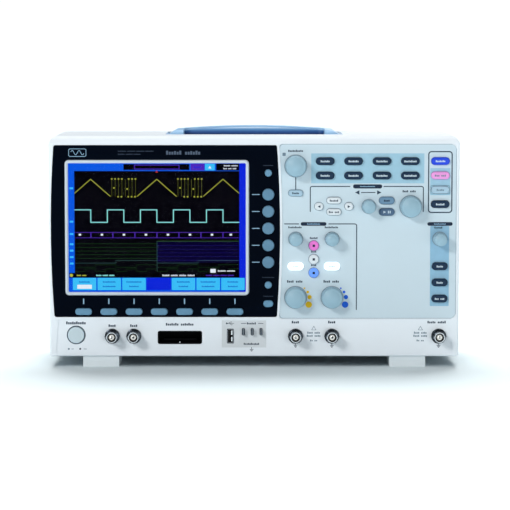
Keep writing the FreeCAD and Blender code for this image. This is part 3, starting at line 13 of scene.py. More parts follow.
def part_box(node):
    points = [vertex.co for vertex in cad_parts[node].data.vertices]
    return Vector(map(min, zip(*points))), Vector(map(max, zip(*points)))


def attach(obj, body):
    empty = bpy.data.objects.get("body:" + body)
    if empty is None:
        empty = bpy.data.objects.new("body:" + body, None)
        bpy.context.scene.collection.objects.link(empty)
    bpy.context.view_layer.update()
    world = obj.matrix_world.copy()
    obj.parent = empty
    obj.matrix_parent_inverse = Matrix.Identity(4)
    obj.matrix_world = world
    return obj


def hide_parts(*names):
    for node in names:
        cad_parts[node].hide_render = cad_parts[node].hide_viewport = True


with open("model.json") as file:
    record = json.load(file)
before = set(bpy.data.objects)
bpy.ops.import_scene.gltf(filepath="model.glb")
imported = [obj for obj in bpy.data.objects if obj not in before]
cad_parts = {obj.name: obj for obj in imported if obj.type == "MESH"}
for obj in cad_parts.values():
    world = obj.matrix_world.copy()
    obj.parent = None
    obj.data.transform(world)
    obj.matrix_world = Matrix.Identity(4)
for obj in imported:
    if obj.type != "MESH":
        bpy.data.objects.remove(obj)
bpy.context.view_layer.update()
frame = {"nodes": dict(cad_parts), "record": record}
nodes = frame["nodes"]

MM = 0.001  # metres
PRINT = 0.05  # how far a print stands proud of its surface
SUNK = 0.02  # how far a print reaches into its surface


# Materials


def srgb(red, green, blue):
    """A screen colour, 0 to 255, as linear light."""

    def linear(value):
        value /= 255
        return value / 12.92 if value <= 0.04045 else ((value + 0.055) / 1.055) ** 2.4

    return (linear(red), linear(green), linear(blue), 1)


def shade(color, factor):
    return tuple(min(1, c * factor) for c in color[:3]) + (1,)


class Tree:
    """A material's nodes, with a short way to add and link them."""

    def __init__(self, name):
        self.material = bpy.data.materials.new(name)
        self.material.use_nodes = True
        self.nodes = self.material.node_tree.nodes
        self.links = self.material.node_tree.links
        self.shader = self.nodes["Principled BSDF"]
        self.place = self.add("ShaderNodeTexCoord").outputs["Object"]

    def add(self, kind, inputs=None, **settings):
        node = self.nodes.new(kind)
        for key, value in settings.items():
            setattr(node, key, value)
        for key, value in (inputs or {}).items():
            if isinstance(value, bpy.types.NodeSocket):
                self.links.new(value, node.inputs[key])
            else:
                node.inputs[key].default_value = value
        return node

    def stretched(self, scale):
        return self.add("ShaderNodeMapping", {"Vector": self.place, "Scale": scale}).outputs[0]

    def noise(self, size, detail=2, place=None):
        """Noise with features of about that size."""
        inputs = {"Vector": place or self.place, "Scale": 1 / size, "Detail": detail}
        return self.add("ShaderNodeTexNoise", inputs).outputs["Fac"]

    def ramp(self, value, low, high):
        """Noise spread from low to high."""
        inputs = {0: value, 1: 0.3, 2: 0.7, 3: low, 4: high}
        return self.add("ShaderNodeMapRange", inputs).outputs[0]

    def blend(self, factor, first, second):
        node = self.add("ShaderNodeMix", {"Factor": factor}, data_type="RGBA")
        for socket, value in ((node.inputs[6], first), (node.inputs[7], second)):
            if isinstance(value, bpy.types.NodeSocket):
                self.links.new(value, socket)
            else:
                socket.default_value = value
        return node.outputs[2]

    def bump(self, height, depth):
        node = self.add("ShaderNodeBump", {"Height": height, "Distance": depth, "Strength": 1})
        self.links.new(node.outputs[0], self.shader.inputs["Normal"])

    def link(self, output, socket):
        self.links.new(output, self.shader.inputs[socket])

    def set(self, **values):
        for key, value in values.items():
            self.shader.inputs[key.replace("_", " ")].default_value = value


def plastic(name, color, roughness=0.45, grain=0.7, relief=0.02, drift=0.05, patch=30, **more):
    """Moulded plastic: a fine grain, and a colour and gloss that drift a little. Sizes in millimetres.

    more may hold specular, glow, and seam_y: where two shells meet, in metres, to draw their shut line.
    """
    glow, seam_y = more.get("glow", 0), more.get("seam_y")
    tree = Tree(name)
    wide = tree.noise(patch * MM, 3)
    fine = tree.noise(grain * MM, 2)
    tint = tree.blend(tree.ramp(wide, 0, 1), shade(color, 1 - drift), shade(color, 1 + drift))
    speckled = tree.blend(tree.ramp(fine, 0, drift), tint, shade(color, 0.5))
    tree.link(tree.ramp(fine, roughness - 0.07, roughness + 0.07), "Roughness")
    tree.set(Specular_IOR_Level=more.get("specular", 0.35))
    if seam_y is None:
        tree.link(speckled, "Base Color")
        tree.bump(fine, relief * MM)
    else:
        depth = tree.add("ShaderNodeSeparateXYZ", {0: tree.place}).outputs["Y"]
        line = {0: depth, 1: seam_y, 2: 0.3 * MM}
        shut = tree.add("ShaderNodeMath", line, operation="COMPARE").outputs[0]
        tree.link(tree.blend(shut, speckled, shade(color, 0.3)), "Base Color")
        groove = tree.add("ShaderNodeMath", {0: fine, 1: shut}, operation="SUBTRACT").outputs[0]
        tree.bump(groove, relief * MM)
    if glow:
        tree.link(tint, "Emission Color")
        tree.set(Emission_Strength=glow)
    return tree.material


def metal(name, color, roughness=0.25, along=(1, 1, 1), relief=0.006, metallic=1.0):
    """Metal with fine marks that run along one axis, where along is small."""
    tree = Tree(name)
    marks = tree.noise(0.35 * MM, 3, tree.stretched(along))
    stains = tree.noise(9 * MM, 4)
    tree.link(tree.blend(tree.ramp(stains, 0, 1), shade(color, 0.88), color), "Base Color")
    tree.link(tree.ramp(marks, roughness - 0.08, roughness + 0.1), "Roughness")
    tree.bump(marks, relief * MM)
    tree.set(Metallic=metallic)
    return tree.material


def rubber_painted_shade(name, low_z, high_z, colors):
    """A soft rubber whose colour runs through several shades from bottom to top: painted shade at the
    bottom and a painted highlight at the top.
    """
    tree = Tree(name)
    height = tree.add("ShaderNodeSeparateXYZ", {0: tree.place}).outputs["Z"]
    climb = tree.add("ShaderNodeMapRange", {0: height, 1: low_z, 2: high_z}).outputs[0]
    ramp = tree.add("ShaderNodeValToRGB", {"Fac": climb})
    stops = ramp.color_ramp.elements
    for index, (place, color) in enumerate(colors):
        stop = stops[index] if index < 2 else stops.new(place)
        stop.position = place
        stop.color = color
    fine = tree.noise(0.8 * MM)
    tree.link(tree.blend(tree.ramp(fine, 0, 0.08), ramp.outputs[0], colors[0][1]), "Base Color")
    tree.link(tree.ramp(fine, 0.4, 0.55), "Roughness")
    tree.bump(fine, 0.03 * MM)
    tree.set(Specular_IOR_Level=0.3)
    return tree.material


def ink(name, color):
    """Screen-printed ink: nearly even, with the slight mottle of a print."""
    return plastic(name, color, 0.55, grain=0.25, relief=0.004, drift=0.04, patch=6, specular=0.2)


def board(name):
    """Solder mask over copper tracks."""
    tree = Tree(name)
    place = tree.stretched((1, 1, 1))
    size = {"Scale": 220, "Brick Width": 0.9, "Row Height": 0.35, "Mortar Size": 0.06, "Vector": place}
    tracks = tree.add("ShaderNodeTexBrick", size).outputs["Fac"]
    mottle = tree.noise(3 * MM)
    mask = tree.blend(tree.ramp(mottle, 0, 1), srgb(8, 70, 38), srgb(12, 88, 48))
    tree.link(tree.blend(tracks, mask, srgb(40, 120, 70)), "Base Color")
    tree.link(tree.ramp(mottle, 0.25, 0.4), "Roughness")
    tree.bump(tracks, 0.03 * MM)
    return tree.material


def lit_pixels(name, color, strength=1.0):
    """A stretch of the display: even light, broken up by the fine grid of its pixels."""
    tree = Tree(name)
    fine = {"Vector": tree.place, "Scale": 700}
    waves = [tree.add("ShaderNodeTexWave", fine, bands_direction=way).outputs["Fac"] for way in "ZX"]
    grid = tree.add("ShaderNodeMath", dict(enumerate(waves)), operation="MAXIMUM").outputs[0]
    cloud = tree.ramp(tree.noise(25 * MM), 0, 0.08)
    even = tree.blend(cloud, color, shade(color, 0.8))
    tree.link(tree.blend(grid, shade(color, 0.72), even), "Emission Color")
    tree.link(tree.ramp(tree.noise(0.4 * MM), 0.3, 0.5), "Roughness")
    tree.set(Base_Color=(0.001, 0.001, 0.002, 1), Specular_IOR_Level=0.01, Emission_Strength=strength)
    return tree.material


def clear_pane(name):
    """Clear acrylic with a hint of haze."""
    tree = Tree(name)
    haze = tree.noise(18 * MM, 3)
    tree.link(tree.ramp(haze, 0.02, 0.06), "Roughness")
    tree.bump(haze, 0.002 * MM)
    tree.set(Base_Color=(1, 1, 1, 1), Transmission_Weight=1, IOR=1.05, Specular_IOR_Level=0.04)
    return tree.material


def key_plastic(name, color, **more):
    """The smooth silicone or acrylic of a key top."""
    return plastic(name, srgb(*color), **{"roughness": 0.4, "grain": 0.3, "relief": 0.008, **more})


def pad_rubber(name, color, **more):
    """The duller silicone of a keypad."""
    look = {"roughness": 0.5, "grain": 0.35, "relief": 0.015, "patch": 9}
    return key_plastic(name, color, **{**look, **more})


SPLIT_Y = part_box("rear_cover")[0].y
CASE = plastic("case_plastic", srgb(230, 238, 245), 0.5, 0.9, 0.03, 0.015, patch=60, seam_y=SPLIT_Y)
PANEL = plastic("panel_plastic", srgb(197, 215, 225), 0.5, 0.5, 0.015, 0.015, patch=60)
BEZEL = plastic("bezel_plastic", srgb(1, 6, 18), 0.25, grain=0.6, relief=0.004, drift=0.12, specular=0.02)
RIM = plastic("rim_plastic", srgb(208, 219, 230), 0.3, grain=0.8, relief=0.006, drift=0.02)
KNOB = plastic("knob_plastic", srgb(148, 182, 199), 0.42, grain=0.4, relief=0.01, drift=0.04)
POWER = plastic("power_plastic", srgb(196, 214, 222), 0.35, grain=0.5, relief=0.008, drift=0.03)
# The menu keys and the side keys are one silicone; the menu keys' copy is painted lighter to make up for
# the less light that falls on the bottom row.
MENU_KEY_PAINTED_LIGHTER = pad_rubber("menu_silicone", (96, 142, 172))
SIDE_KEY = pad_rubber("side_silicone", (90, 132, 160))
DARK_KEY = pad_rubber("dark_silicone", (20, 46, 72), relief=0.012, drift=0.08, specular=0.2)
BLUE_KEY = key_plastic("blue_key", (12, 60, 205), drift=0.06, glow=0.12)
PINK_KEY = key_plastic("pink_key", (222, 146, 210), glow=0.12)
PALE_KEY = key_plastic("pale_key", (165, 195, 214), roughness=0.45, drift=0.04)
WHITE_KEY = key_plastic("white_key", (218, 227, 233), drift=0.03)
LIT_KEY = key_plastic("lit_key", (248, 252, 255), relief=0.006, drift=0.02, glow=0.8)
SLATE_KEY = key_plastic("slate_key", (103, 139, 168), roughness=0.45, drift=0.06)
DEEP_SLATE = key_plastic("deep_slate_key", (72, 100, 130), roughness=0.45, drift=0.06)
VIOLET_KEY = key_plastic("violet_key", (212, 108, 190), glow=0.25)
SKY_KEY = key_plastic("sky_key", (98, 147, 238), glow=0.3)
HANDLE = plastic("handle_plastic", srgb(158, 200, 236), 0.4, grain=0.6, relief=0.02, drift=0.04)
HANDLE_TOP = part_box("carry_handle")[1].z
# The grip's blue, painted dark navy at the bottom as shade and near white at the top as a highlight of the
# light from above.
GRIP_PAINTED_SHADES = (
    (0, srgb(10, 30, 74)),
    (1, srgb(205, 228, 246)),
    (0.42, srgb(40, 86, 150)),
    (0.72, srgb(96, 152, 204)),
)
GRIP = rubber_painted_shade("grip_rubber_painted_shade", HANDLE_TOP - 9 * MM, HANDLE_TOP - 1 * MM, GRIP_PAINTED_SHADES)
FOOT = plastic("foot_plastic", srgb(222, 232, 237), 0.55, grain=0.7, relief=0.03, drift=0.03)
DEEP_BLACK = plastic("port_black", srgb(5, 5, 8), 0.55, grain=0.5, relief=0.01, drift=0.2, specular=0.04)
BLACK = plastic("black_plastic_and_painted_shade", srgb(14, 16, 20), grain=0.5, drift=0.15, specular=0.2)
WHITE_INSULATOR = plastic("insulator", srgb(236, 236, 230), 0.4, grain=0.4, relief=0.006, drift=0.04)
NICKEL = metal("jack_nickel", srgb(160, 166, 174), 0.24)
# Nickel coloured dark for the jack nuts: a painted dark reflection.
CHROME_PAINTED_DARK = metal("chrome_painted_dark_reflection", srgb(56, 63, 71), 0.22)
TAB = metal("tab_metal", srgb(120, 128, 134), 0.3)
BRASS = metal("brass", srgb(196, 170, 110), 0.3)
PLATE = metal("plate_foil", srgb(206, 212, 218), 0.4, along=(0.1, 1, 1), metallic=0.6)
BRIGHT = metal("bright_nickel", srgb(226, 229, 232), 0.2)
STEEL = metal("socket_steel", srgb(190, 194, 198), 0.3, along=(1, 1, 0.1))
PAN = metal("pan_paint", srgb(172, 180, 186), 0.5, relief=0.02, metallic=0.25)
ALUMINIUM = metal("chassis_aluminium", srgb(190, 192, 195), 0.35, along=(0.05, 1, 1))
SCREW = metal("screw_zinc", srgb(150, 154, 160), 0.35)
BOARD = board("circuit_board")

INK_DARK = ink("ink_slate", srgb(48, 66, 84))
INK_GREY = ink("ink_grey", srgb(110, 132, 148))
INK_RING = ink("ink_ring", srgb(70, 88, 106))
INK_NAVY = ink("ink_navy", srgb(24, 40, 62))
INK_FIELD = ink("ink_field", srgb(156, 196, 216))
INK_COLUMN = ink("ink_column", srgb(140, 182, 208))
INK_WASH = ink("ink_wash", srgb(210, 217, 222))
INK_LIGHT = ink("ink_light", srgb(196, 214, 226))
INK_YELLOW = ink("ink_yellow", srgb(226, 186, 28))
INK_BLUE = ink("ink_blue", srgb(20, 98, 220))
# Grey-blue ink for the seam round the panel, and for the painted shade round the knobs.
INK_SEAM_AND_SHADE = ink("ink_seam_and_painted_shade", srgb(134, 154, 168))
INK_TICK = ink("ink_tick", srgb(140, 178, 205))
INK_DIM = ink("ink_dim", srgb(44, 56, 74))
INK_FAINT = ink("ink_faint", srgb(74, 88, 108))


# Meshes


def finish(name, bm, material, body="case", sharp=35):
    """Turns a bmesh in millimetres into a piece that rides on a body."""
    bmesh.ops.scale(bm, vec=(MM, MM, MM), verts=bm.verts)
    bmesh.ops.remove_doubles(bm, verts=bm.verts, dist=1e-7)
    bmesh.ops.recalc_face_normals(bm, faces=bm.faces)
    mesh = bpy.data.meshes.new(name)
    bm.to_mesh(mesh)
    bm.free()
    mesh.materials.append(material)
    mesh.shade_smooth()
    mesh.set_sharp_from_angle(angle=math.radians(sharp))
    piece = bpy.data.objects.new(name, mesh)
    bpy.context.scene.collection.objects.link(piece)
    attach(piece, body)
    return piece


def loft(bm, rings, closed=True):
    """Joins rings of the same number of points. closed caps both ends."""
    made = [[bm.verts.new(p) for p in ring] for ring in rings]
    count = len(made[0])
    for a, b in zip(made, made[1:]):
        for i in range(count):
            j = (i + 1) % count
            bm.faces.new((a[i], a[j], b[j], b[i]))
    if closed:
        bm.faces.new(made[0][::-1])
        bm.faces.new(made[-1])


def slab(bm, outline, back, front):
    """A flat shape facing the front: its outline in x and z, between two values of y."""
    loft(bm, [[Vector((x, y, z)) for x, z in outline] for y in (back, front)])


def slabs(name, outlines, back, front, material, body="case"):
    bm = bmesh.new()
    for outline in outlines:
        slab(bm, outline, back, front)
    return finish(name, bm, material, body)


def pill(x, z, width, height, radius=None, steps=6):
    """The outline of a rounded rectangle about x, z."""
    radius = min(width, height) / 2 * 0.999 if radius is None else radius
    points = []
    for corner, (sx, sz) in enumerate(((1, 1), (-1, 1), (-1, -1), (1, -1))):
        cx = x + sx * (width / 2 - radius)
        cz = z + sz * (height / 2 - radius)
        for step in range(steps + 1):
            angle = math.pi / 2 * (corner + step / steps)
            points.append((cx + radius * math.cos(angle), cz + radius * math.sin(angle)))
    return points


def disc(x, z, radius, count=32):
    turn = 2 * math.pi / count
    return [(x + radius * math.cos(i * turn), z + radius * math.sin(i * turn)) for i in range(count)]


def rect(low_x, low_z, high_x, high_z):
    return [(low_x, low_z), (high_x, low_z), (high_x, high_z), (low_x, high_z)]


def triangle(x, z, size, way):
    """A triangle that points to way along x, or up when way is 0."""
    if way == 0:
        return [(x - size / 2, z - size * 0.43), (x + size / 2, z - size * 0.43), (x, z + size * 0.43)]
    return [(x - way * size / 2, z - size / 2), (x + way * size / 2, z), (x - way * size / 2, z + size / 2)]


def rounded_path(points, radius, steps=6):
    """A path through points with its inner corners rounded."""
    path = [Vector(points[0])]
    for before, corner, after in zip(points, points[1:], points[2:]):
        corner = Vector(corner)
        start = corner + (Vector(before) - corner).normalized() * radius
        end = corner + (Vector(after) - corner).normalized() * radius
        for step in range(steps + 1):
            t = step / steps
            path.append(start.lerp(corner, t).lerp(corner.lerp(end, t), t))
    path.append(Vector(points[-1]))
    return path


def line(bm, path, width, back, front, closed=False):
    """A printed line of constant width along a path in x and z."""
    path = [Vector(p) for p in path]
    count = len(path)
    left, right = [], []
    for i, here in enumerate(path):
        ahead = path[(i + 1) % count] if closed or i + 1 < count else here
        behind = path[i - 1] if closed or i > 0 else here
        first = (here - behind).normalized() if here != behind else (ahead - here).normalized()
        second = (ahead - here).normalized() if here != ahead else first
        along = (first + second).normalized()
        side = Vector((-along.y, along.x))
        reach = width / 2 / max(0.3, side.dot(Vector((-first.y, first.x))))
        left.append(here + side * reach)
        right.append(here - side * reach)
    spans = count if closed else count - 1
    grid = [
        [bm.verts.new((p.x, y, p.y)) for p in points]
        for points, y in ((left, back), (right, back), (right, front), (left, front))
    ]
    for i in range(spans):
        j = (i + 1) % count
        for a, b in zip(grid, grid[1:] + grid[:1]):
            bm.faces.new((a[i], a[j], b[j], b[i]))
    if not closed:
        bm.faces.new([row[0] for row in grid])
        bm.faces.new([row[-1] for row in grid][::-1])


def lines(name, paths, width, back, front, material, closed=False):
    bm = bmesh.new()
    for path in paths:
        line(bm, path, width, back, front, closed)
    return finish(name, bm, material)


def pierced(name, outline, holes, back, front, material):
    """A thin flat shape with holes through it."""
    loops = [outline, *holes]
    points = [point for loop in loops for point in loop]
    bm = bmesh.new()
    far, near = ([bm.verts.new((x, y, z)) for x, z in points] for y in (back, front))
    for a, b, c in tessellate_polygon([[Vector((x, z, 0)) for x, z in loop] for loop in loops]):
        bm.faces.new((near[a], near[b], near[c]))
        bm.faces.new((far[c], far[b], far[a]))
    start = 0
    for loop in loops:
        for i in range(len(loop)):
            a, b = start + i, start + (i + 1) % len(loop)
            bm.faces.new((near[a], near[b], far[b], far[a]))
        start += len(loop)
    return finish(name, bm, material)


def circle(x, y, z, radius, count):
    """Points round an axis along y."""
    turn = 2 * math.pi / count
    return [(x + radius * math.cos(i * turn), y, z + radius * math.sin(i * turn)) for i in range(count)]


def turned(bm, profile, spot, way, count=48):
    """A shape turned about an axis along y. profile holds (radius, distance), way is -1 to the front."""
    loft(bm, [circle(spot.x, spot.y + way * out, spot.z, radius, count) for radius, out in profile])


def hollow(bm, profile, spot, way=1, count=48):
    """A turned ring whose profile closes on itself."""
    rings = [circle(spot.x, spot.y + way * out, spot.z, radius, count) for radius, out in profile]
    loft(bm, [*rings, rings[0]], closed=False)


# Places read from the frame


def box(node):
    """The low and high corners of a node."""
    return [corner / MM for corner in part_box(node)]


def middle(node):
    low, high = box(node)
    return (low + high) / 2


def centre(node):
    """A node's middle as x, z."""
    spot = middle(node)
    return spot.x, spot.z


PANEL_FACE = box("control_panel")[0].y
BEZEL_FACE = box("screen_bezel")[0].y
FRAME_FACE = box("front_frame")[0].y
STRIP_FACE = FRAME_FACE + 0.6
VARIABLE, TIME = centre("variable_knob"), centre("time_scale_knob")
SCALE_1, SCALE_2 = centre("channel_1_scale_knob"), centre("channel_2_scale_knob")
POSITION_1, POSITION_2 = centre("channel_1_position_knob"), centre("channel_2_position_knob")
SHIFT, LEVEL = centre("horizontal_position_knob"), centre("trigger_level_knob")
RUN_X = LEVEL[0]
MOUNTS = {mount["name"]: Vector(mount["pos_m"]) / MM for mount in frame["record"]["mounts"]}
JACK_Z = box("front_jacks")[0].z + 6.8  # the height of the row of sockets


def print_on(face, name, outlines, material, lift=1):
    """Prints flat shapes on a face. lift orders prints that lie on each other."""
    slabs(name, outlines, face + SUNK, face - PRINT * lift, material)


def print_lines(face, name, paths, width, material, closed=False, lift=1):
    lines(name, paths, width, face + SUNK, face - PRINT * lift, material, closed)


BLOCK_HEIGHTS = (1, 0.72, 0.72, 0.9, 0.72)


def caption_bars(x, z, width, height=2.1, words=1):
    """Rows of small plain blocks where a label would be, a row for each word."""
    gap = height * 0.8
    length = (width - gap * (words - 1)) / words
    count = max(2, round(length / (height * 0.72)))
    pitch = length / count
    blocks = []
    for word in range(words):
        start = x - width / 2 + word * (length + gap)
        for i in range(count):
            tall = height * BLOCK_HEIGHTS[(i + word) % len(BLOCK_HEIGHTS)]
            low = z - height / 2
            blocks.append(rect(start + i * pitch, low, start + (i + 0.76) * pitch, low + tall))
    return blocks


def labels(*rows):
    """Blocks for several labels, each given as the arguments of caption_bars."""
    return [block for row in rows for block in caption_bars(*row)]


# CAD nodes that keep their shape


def paint(material, *names):
    for name in names:
        mesh = nodes[name].data
        mesh.materials.clear()
        mesh.materials.append(material)


paint(CASE, "front_frame", "rear_cover")
paint(PANEL, "control_panel")
paint(BEZEL, "screen_bezel")
paint(RIM, "screen_rim")
paint(STEEL, "display_module", "usb_port")
paint(TAB, "demo_terminals")
paint(BOARD, "key_board", "main_board")
paint(ALUMINIUM, "chassis")
paint(SCREW, "case_screws")
paint(BLACK, "power_supply", "fan_frame", "fan_rotor", "mains_inlet")
paint(DEEP_BLACK, "logic_port")
paint(NICKEL, "front_jacks", "rear_sockets")
paint(PAN, "rear_panel", "option_slot_covers")
paint(FOOT, "case_feet", "tilt_leg_left", "tilt_leg_right")
paint(HANDLE, "carry_handle")
paint(POWER, "power_button")

KEYS = (
    (MENU_KEY_PAINTED_LIGHTER, "menu_keypad"),
    (SIDE_KEY, "side_keypad"),
    (MENU_KEY_PAINTED_LIGHTER, "option_key", "menu_off_key", "print_key"),
    (DARK_KEY, "function_keypad", "default_setup_key"),
    (DARK_KEY, "trigger_menu_key", "trigger_half_key", "trigger_force_key"),
    (BLUE_KEY, "autoset_key"),
    (PINK_KEY, "run_stop_key"),
    (PALE_KEY, "single_key", "select_key"),
    (WHITE_KEY, "search_key", "set_clear_key", "reference_key", "arrow_left_key", "arrow_right_key"),
    (LIT_KEY, "channel_1_key", "channel_2_key"),
    (SLATE_KEY, "zoom_key"),
    (DEEP_SLATE, "play_pause_key"),
    (VIOLET_KEY, "math_key"),
    (SKY_KEY, "bus_key"),
)
KEY_MATERIALS = {name: material for material, *names in KEYS for name in names}
for key_node, key_material in KEY_MATERIALS.items():
    paint(key_material, key_node)


# Key tops

KEY_LIP = 1.2
CAP_RISE = 0.6
CAP_SKIRT = 0.8
CAP_GROW = 0.05


def spread(low, high, count):
    return [low + (high - low) * i / max(1, count - 1) for i in range(count)]


def key_spots(node, columns, rows, width, height, lip_x=KEY_LIP, lip_z=KEY_LIP):
    """The middles of a keypad's key tops, row by row from the bottom."""
    low, high = box(node)
    across = spread(low.x + lip_x + width / 2, high.x - lip_x - width / 2, columns)
    up = spread(low.z + lip_z + height / 2, high.z - lip_z - height / 2, rows)
    return [(x, z) for z in up for x in across]


def cap_section(reach):
    """(inset, rise) from the back of the skirt, over an eased edge, to a slightly full face."""
    edge = min(1.0, reach * 0.4)
    section = [(0, -CAP_SKIRT)]
    for step in range(6):
        angle = math.pi / 2 * step / 5
        section.append((edge * (1 - math.cos(angle)), CAP_RISE - 0.1 - edge * (1 - math.sin(angle))))
    section.append(((edge + reach) / 2, CAP_RISE - 0.02))
    section.append((reach * 0.9, CAP_RISE))
    return section


def cap_keys(node, spots, width, height, material):
    """Soft caps over the key tops of a node."""
    face = box(node)[0].y
    bm = bmesh.new()
    for x, z in spots:
        rings = []
        for inset, rise in cap_section(min(width, height) / 2):
            grow = 2 * (CAP_GROW - inset)
            outline = pill(x, z, width + grow, height + grow)
            rings.append([Vector((a, face - rise, b)) for a, b in outline])
        loft(bm, rings)
    finish(node + "_caps", bm, material, node, sharp=50)


FUNCTION_SIZE = (16.9, 6.8)
FUNCTION_SPOTS = key_spots("function_keypad", 4, 2, *FUNCTION_SIZE)
menu_low, menu_high = box("menu_keypad")
MENU_SIZE = (15.6, menu_high.z - menu_low.z - 1)
MENU_SPOTS = key_spots("menu_keypad", 7, 1, *MENU_SIZE, lip_z=0.5)
SIDE_SIZE = (11, 11)
SIDE_SPOTS = key_spots("side_keypad", 1, 5, *SIDE_SIZE, lip_x=0.6)


def make_key_caps():
    keypads = {
        "function_keypad": (FUNCTION_SPOTS, FUNCTION_SIZE),
        "menu_keypad": (MENU_SPOTS, MENU_SIZE),
        "side_keypad": (SIDE_SPOTS, SIDE_SIZE),
    }
    for node, material in KEY_MATERIALS.items():
        if node in keypads:
            spots, (width, height) = keypads[node]
        else:
            low, high = box(node)
            width, height = high.x - low.x - 2 * KEY_LIP, high.z - low.z - 2 * KEY_LIP
            spots = [centre(node)]
        cap_keys(node, spots, width, height, material)


make_key_caps()


# Knobs


def knob_profile(radius, reach):
    """(radius, distance from the panel) up the side, over a soft edge and across the full face."""
    edge = radius * 0.2
    crown = radius * 0.22
    top = radius - 0.5
    shoulder = reach - crown
    side = [(radius, 0), (radius, 1.0), (radius - 0.25, 1.4), (top, shoulder - edge)]
    for step in range(1, 8):
        angle = math.pi / 2 * step / 7
        side.append((top - edge * (1 - math.cos(angle)), shoulder - edge + edge * math.sin(angle)))
    face = top - edge
    for part in (0.9, 0.75, 0.55, 0.3, 0.08):
        side.append((face * part, reach - crown * part * part))
    return side


def knurled(bm, profile, x, back, z, way, flutes, depth, until):
    """A turned shape with flutes cut in the part of its side that is no further out than until."""
    count = flutes * 6
    widest = profile[0][0]
    rings = []
    for radius, out in profile:
        cut = depth if 1.2 < out <= until and radius > widest * 0.8 else 0
        ring = []
        for i in range(count):
            angle = 2 * math.pi * i / count
            reach = radius - cut * max(0, math.cos(angle * flutes)) ** 2
            ring.append((x + reach * math.cos(angle), back + way * out, z + reach * math.sin(angle)))
        rings.append(ring)
    loft(bm, rings)


def make_knob(node, flutes):
    """A fluted knob with a rounded edge and a full face, in place of the plain one."""
    low, high = box(node)
    stem = 7.8
    back = high.y - stem
    x, z = centre(node)
    reach = back - low.y
    bm = bmesh.new()
    knurled(bm, knob_profile((high.x - low.x) / 2, reach), x, back, z, -1, flutes, 0.35, reach - 3)
    turned(bm, [(1.95, -0.1), (1.95, stem)], Vector((x, back, z)), 1, 24)
    knob = finish(node + "_cap", bm, KNOB, node, sharp=50)
    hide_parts(node)


KNOB_FLUTES = {
    "variable_knob": 30,
    "time_scale_knob": 30,
    "channel_1_scale_knob": 30,
    "channel_2_scale_knob": 30,
    "horizontal_position_knob": 20,
    "trigger_level_knob": 20,
    "channel_1_position_knob": 20,
    "channel_2_position_knob": 20,
}
for knob_node, knob_flutes in KNOB_FLUTES.items():
    make_knob(knob_node, knob_flutes)


# Key legends: plain bars and symbols


def legend(node, outlines, material, at=None):
    """Prints shapes, given about the key's middle, on the cap of a key."""
    face = box(node)[0].y - CAP_RISE
    x, z = at or centre(node)
    moved = [[(x + a, z + b) for a, b in outline] for outline in outlines]
    name = f"{node}_legend_{round(x)}_{round(z)}"
    slabs(name, moved, face + 0.12, face - PRINT, material, node)


def word(width, height=1.8, words=1):
    return caption_bars(0, 0, width, height, words)


def make_legends():
    for index, spot in enumerate(FUNCTION_SPOTS):
        legend("function_keypad", word(8.5 + index * 5 % 4), INK_LIGHT, at=spot)
    pause_bars = [rect(x, -1.2, x + 0.8, 1.2) for x in (1, 2.6)]
    square = [rect(-1.1, -1.1, 1.1, 1.1)]
    rows = (
        (INK_LIGHT, "default_setup_key", word(8)),
        (INK_LIGHT, "trigger_menu_key", word(6)),
        (INK_LIGHT, "trigger_half_key", word(6)),
        (INK_LIGHT, "trigger_force_key", word(9, words=2)),
        (INK_LIGHT, "autoset_key", word(9)),
        (INK_GREY, "run_stop_key", word(10.5, words=2)),
        (INK_GREY, "single_key", word(7)),
        (INK_DARK, "select_key", word(6.5)),
        (INK_DARK, "search_key", word(8)),
        (INK_DARK, "set_clear_key", word(9.5, words=2)),
        (INK_NAVY, "zoom_key", word(5.5)),
        (INK_LIGHT, "play_pause_key", [triangle(-2, 0, 2.4, 1), *pause_bars]),
        (INK_DARK, "arrow_left_key", [triangle(0, 0, 2.6, -1)]),
        (INK_DARK, "arrow_right_key", [triangle(0, 0, 2.6, 1)]),
        (INK_NAVY, "math_key", square),
        (INK_NAVY, "reference_key", square),
        (INK_NAVY, "bus_key", square),
        (INK_TICK, "channel_1_key", word(6, 1.4)),
        (INK_TICK, "channel_2_key", word(6, 1.4)),
    )
    for material, node, outlines in rows:
        legend(node, outlines, material)


make_legends()


# Prints on the control panel


KEY_GAP = 0.3  # the gap round a key in the print that it comes through


def key_hole(node):
    low, high = box(node)
    less = 2 * (KEY_LIP - KEY_GAP)
    return pill(*centre(node), high.x - low.x - less, high.z - low.z - less)


def print_field(name, outline, holes, material):
    """A tinted field on the panel, open where keys and stems come through."""
    pierced(name, outline, holes, PANEL_FACE + SUNK, PANEL_FACE - PRINT, material)


def print_function_field():
    low, high = box("function_keypad")
    field = rect(low.x - 3.3, low.z - 2.6, high.x + 3.3, high.z + 2.6)
    holes = [pill(x, z, *(size + 2 * KEY_GAP for size in FUNCTION_SIZE)) for x, z in FUNCTION_SPOTS]
    print_field("function_field", field, holes, INK_FIELD)


def print_run_column():
    """The tinted column of the run keys, the outline round it, and the fine line round the single key."""
    low, high = box("single_key")[0].z - 0.4, box("run_stop_key")[1].z + 2.2
    column = rect(RUN_X - 9.3, low, RUN_X + 9.3, high)
    print_field("run_field", column, [key_hole("single_key"), key_hole("run_stop_key")], INK_FIELD)
    bottom, top = box("default_setup_key")[0].z, box("autoset_key")[1].z
    outline = pill(RUN_X, (bottom + top) / 2 + 0.5, 21.6, top - bottom + 7.2, 2.6)
    print_lines(PANEL_FACE, "run_outline", [outline], 1.1, INK_DARK, closed=True)
    edge = pill(*centre("single_key"), 17.6, 7.6, 0.8, 3)
    print_lines(PANEL_FACE, "single_outline", [edge], 0.35, INK_GREY, closed=True, lift=2)


